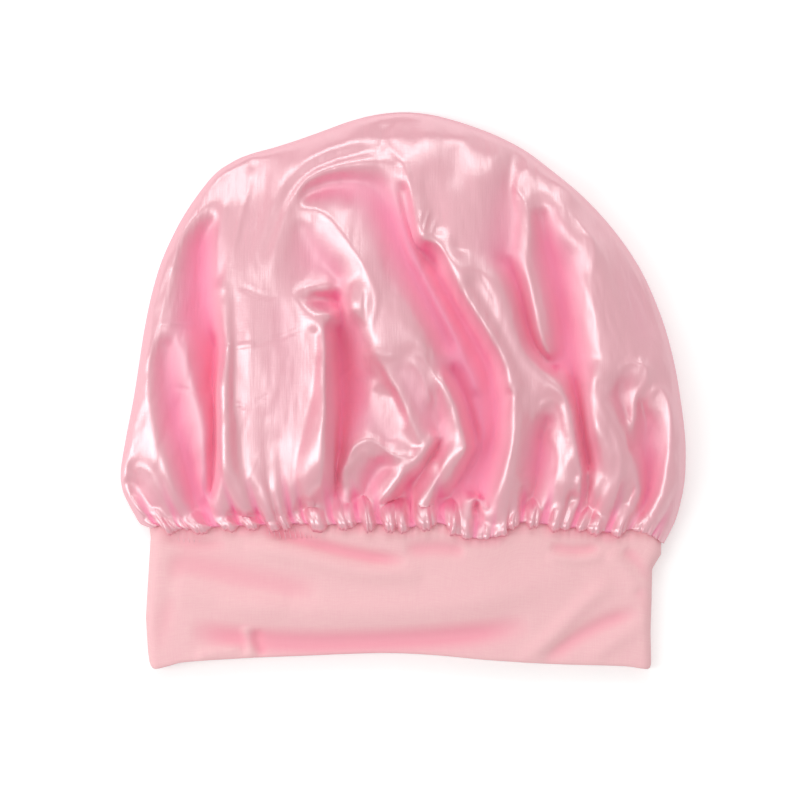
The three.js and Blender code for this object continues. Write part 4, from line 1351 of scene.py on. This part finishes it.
# the pinker colour painted into the dents and under the crown's edge, as painted shade
JERSEY_PAINTED_SHADE = "#FA9DB2"
WALE_WIDTH, WALE_LENGTH = 0.6 * MM, 9 * MM
COURSE_WIDTH, COURSE_LENGTH = 0.7 * MM, 7 * MM
COURSE_SHARE = 0.55
KNIT_HEIGHT = 0.08 * MM
KNIT_STRENGTH = 0.5
KNIT_LOW, KNIT_HIGH = 0.3, 0.7
jersey, tree, shader = new_material("cotton_jersey")
strip_map = node(tree, "ShaderNodeUVMap", {"uv_map": "strip"})
wale_places = node(tree, "ShaderNodeMapping", i0=strip_map.outputs[0], i3=(1 / WALE_WIDTH, 1 / WALE_LENGTH, 1))
wales = node(tree, "ShaderNodeTexNoise", Vector=wale_places.outputs[0], Scale=1.0, Detail=1.5, Roughness=0.5)
course_places = node(tree, "ShaderNodeMapping", i0=strip_map.outputs[0], i3=(1 / COURSE_LENGTH, 1 / COURSE_WIDTH, 1))
courses = node(tree, "ShaderNodeTexNoise", Vector=course_places.outputs[0], Scale=1.0, Detail=1.5, Roughness=0.5)
knit = node(tree, "ShaderNodeMix", i0=COURSE_SHARE, i2=wales.outputs[0], i3=courses.outputs[0])
bump = node(tree, "ShaderNodeBump", Strength=KNIT_STRENGTH, Distance=KNIT_HEIGHT, Height=knit.outputs[0])
tree.links.new(bump.outputs[0], shader.inputs["Normal"])
# painted shade: the knit's colour is painted darker between the stitches
shade = node(tree, "ShaderNodeMapRange", i0=knit.outputs[0], i1=KNIT_LOW, i2=KNIT_HIGH, i3=0.0, i4=1.0)
yarn_and_stitch_shade = node(
    tree, "ShaderNodeMix", {"data_type": "RGBA"}, i0=shade.outputs[0], i6=linear(JERSEY_SHADE), i7=linear(JERSEY_PINK)
)
# painted shade: the hollow attribute mixes a pinker colour into the dents and under the crown's edge
hollow = node(tree, "ShaderNodeAttribute", {"attribute_name": "hollow"}).outputs["Fac"]
painted_shade_mix = node(tree, "ShaderNodeMix", {"data_type": "RGBA"}, i0=hollow, i6=yarn_and_stitch_shade.outputs[2], i7=linear(JERSEY_PAINTED_SHADE))
tree.links.new(painted_shade_mix.outputs[2], shader.inputs["Base Color"])
shader.inputs["Roughness"].default_value = 0.85
shader.inputs["Specular IOR Level"].default_value = 0.2
shader.inputs["Sheen Weight"].default_value = 0.3
shader.inputs["Sheen Roughness"].default_value = 0.5
band.data.materials.append(jersey)
print("jersey is", JERSEY_PINK, "and", JERSEY_PAINTED_SHADE, "in the dents")

# %% [markdown]
# Sewing thread is spun polyester, a little glossier than the knit. Its twist is too fine to draw, and it lies hidden
# in the seam, so a colour and a gloss are enough.

# %% Thread
THREAD_PINK = "#F7CAD2"
thread, tree, shader = new_material("polyester_sewing_thread")
shader.inputs["Base Color"].default_value = linear(THREAD_PINK)
shader.inputs["Roughness"].default_value = 0.5
for piece in (overlock, gathering):
    piece.data.materials.append(thread)
print("thread is", THREAD_PINK)

# %% [markdown]
# The stage is a white floor of matte paper. It glows a little, but only to the camera and in mirrored and see-through
# rays, so it looks plain white, keeps the object's shadow and throws no extra light on the cloth.

# %% Floor
FLOOR_WIDTH = 6
FLOOR_BELOW = 0.2 * MM
FLOOR_WHITE = "#F3F3F3"
FLOOR_GLOW = 0.3
bpy.ops.object.select_all(action="DESELECT")
bpy.ops.mesh.primitive_plane_add(size=FLOOR_WIDTH, location=(0, 0, -FLOOR_BELOW))
floor = bpy.context.object
floor.name = "floor"
paper, tree, shader = new_material("white_paper_backdrop")
shader.inputs["Base Color"].default_value = linear(FLOOR_WHITE)
shader.inputs["Roughness"].default_value = 0.9
shader.inputs["Specular IOR Level"].default_value = 0.1
shader.inputs["Emission Color"].default_value = linear("#FFFFFF")
rays = node(tree, "ShaderNodeLightPath").outputs
seen = rays["Is Camera Ray"]
for other in ("Is Glossy Ray", "Is Transmission Ray"):
    seen = node(tree, "ShaderNodeMath", {"operation": "ADD"}, i0=seen, i1=rays[other]).outputs[0]
glow = node(tree, "ShaderNodeMath", {"operation": "MULTIPLY"}, i0=seen, i1=FLOOR_GLOW)
tree.links.new(glow.outputs[0], shader.inputs["Emission Strength"])
floor.data.materials.append(paper)
print("floor", FLOOR_WIDTH, "m wide,", round(FLOOR_BELOW / MM, 2), "mm below the table's height")

# %% [markdown]
# The camera looks straight down, as the photographer's did. It is two metres up, so the folds aren't spread by
# perspective, and its lens is as long as that needs.

# %% Camera
CAMERA_HEIGHT = 2.0
SENSOR_WIDTH = 36
PICTURE_WIDTH = 800
camera_data = bpy.data.cameras.new("camera")
camera = bpy.data.objects.new("camera", camera_data)
bpy.context.collection.objects.link(camera)
middle = to_metres([PICTURE_WIDTH / 2, PICTURE_WIDTH / 2])
camera.location = (middle[0], middle[1], CAMERA_HEIGHT)
camera_data.sensor_width = SENSOR_WIDTH
camera_data.lens = SENSOR_WIDTH * CAMERA_HEIGHT / (PICTURE_WIDTH * PIXEL)
bpy.context.scene.camera = camera
print("lens", round(camera_data.lens, 1), "mm")

# %% [markdown]
# Satin mirrors its lamps as bright rims, so their places matter more than their power. A tall softbox low at the left
# draws the rims down the folds, and a wide one beyond the top lights the slopes that lie across. A weak one overhead
# softens the shadows, and a pale, slightly warm world fills the rest, as white walls do.

# %% Light
AIM = (0, 0, 0.02)
WORLD_LIGHT = (1, 0.985, 0.97, 1)
WORLD_STRENGTH = 0.65
SOFTBOXES = [
    # name, place and size in metres, power in watts
    ("left_softbox", (-1.38, -0.2, 1.25), (0.7, 1.5), 9.4),
    ("top_softbox", (-0.3, 1.45, 1.4), (1.8, 0.6), 8.0),
    ("overhead_softbox", (-0.25, 0.2, 1.8), (1.5, 1.5), 1),
]
for name, place, (width, length), power in SOFTBOXES:
    data = bpy.data.lights.new(name, "AREA")
    data.shape = "RECTANGLE"
    data.size, data.size_y = width, length
    data.energy = power
    lamp = bpy.data.objects.new(name, data)
    lamp.location = place
    lamp.rotation_euler = (Vector(AIM) - Vector(place)).to_track_quat("-Z", "Y").to_euler()
    bpy.context.collection.objects.link(lamp)
world = bpy.data.worlds.new("studio")
bpy.context.scene.world = world
world.use_nodes = True
background = world.node_tree.nodes["Background"]
background.inputs["Color"].default_value = WORLD_LIGHT
background.inputs["Strength"].default_value = WORLD_STRENGTH
bpy.context.scene.view_settings.view_transform = "Standard"
print(len(SOFTBOXES), "softboxes")

# %% [markdown]
# Last, each piece is tied to the frame: it rides on the body, and the frame's solid that it stands for is hidden.
# The crown was a round panel.

# %% Into the frame
for piece, solid, finish in (
    (crown, "crown", "satin"),
    (band, "band", "jersey"),
    (gathering, "gathering_thread", "thread"),
    (overlock, "overlock_thread", "thread"),
):
    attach(piece, "root")
    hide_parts(solid)
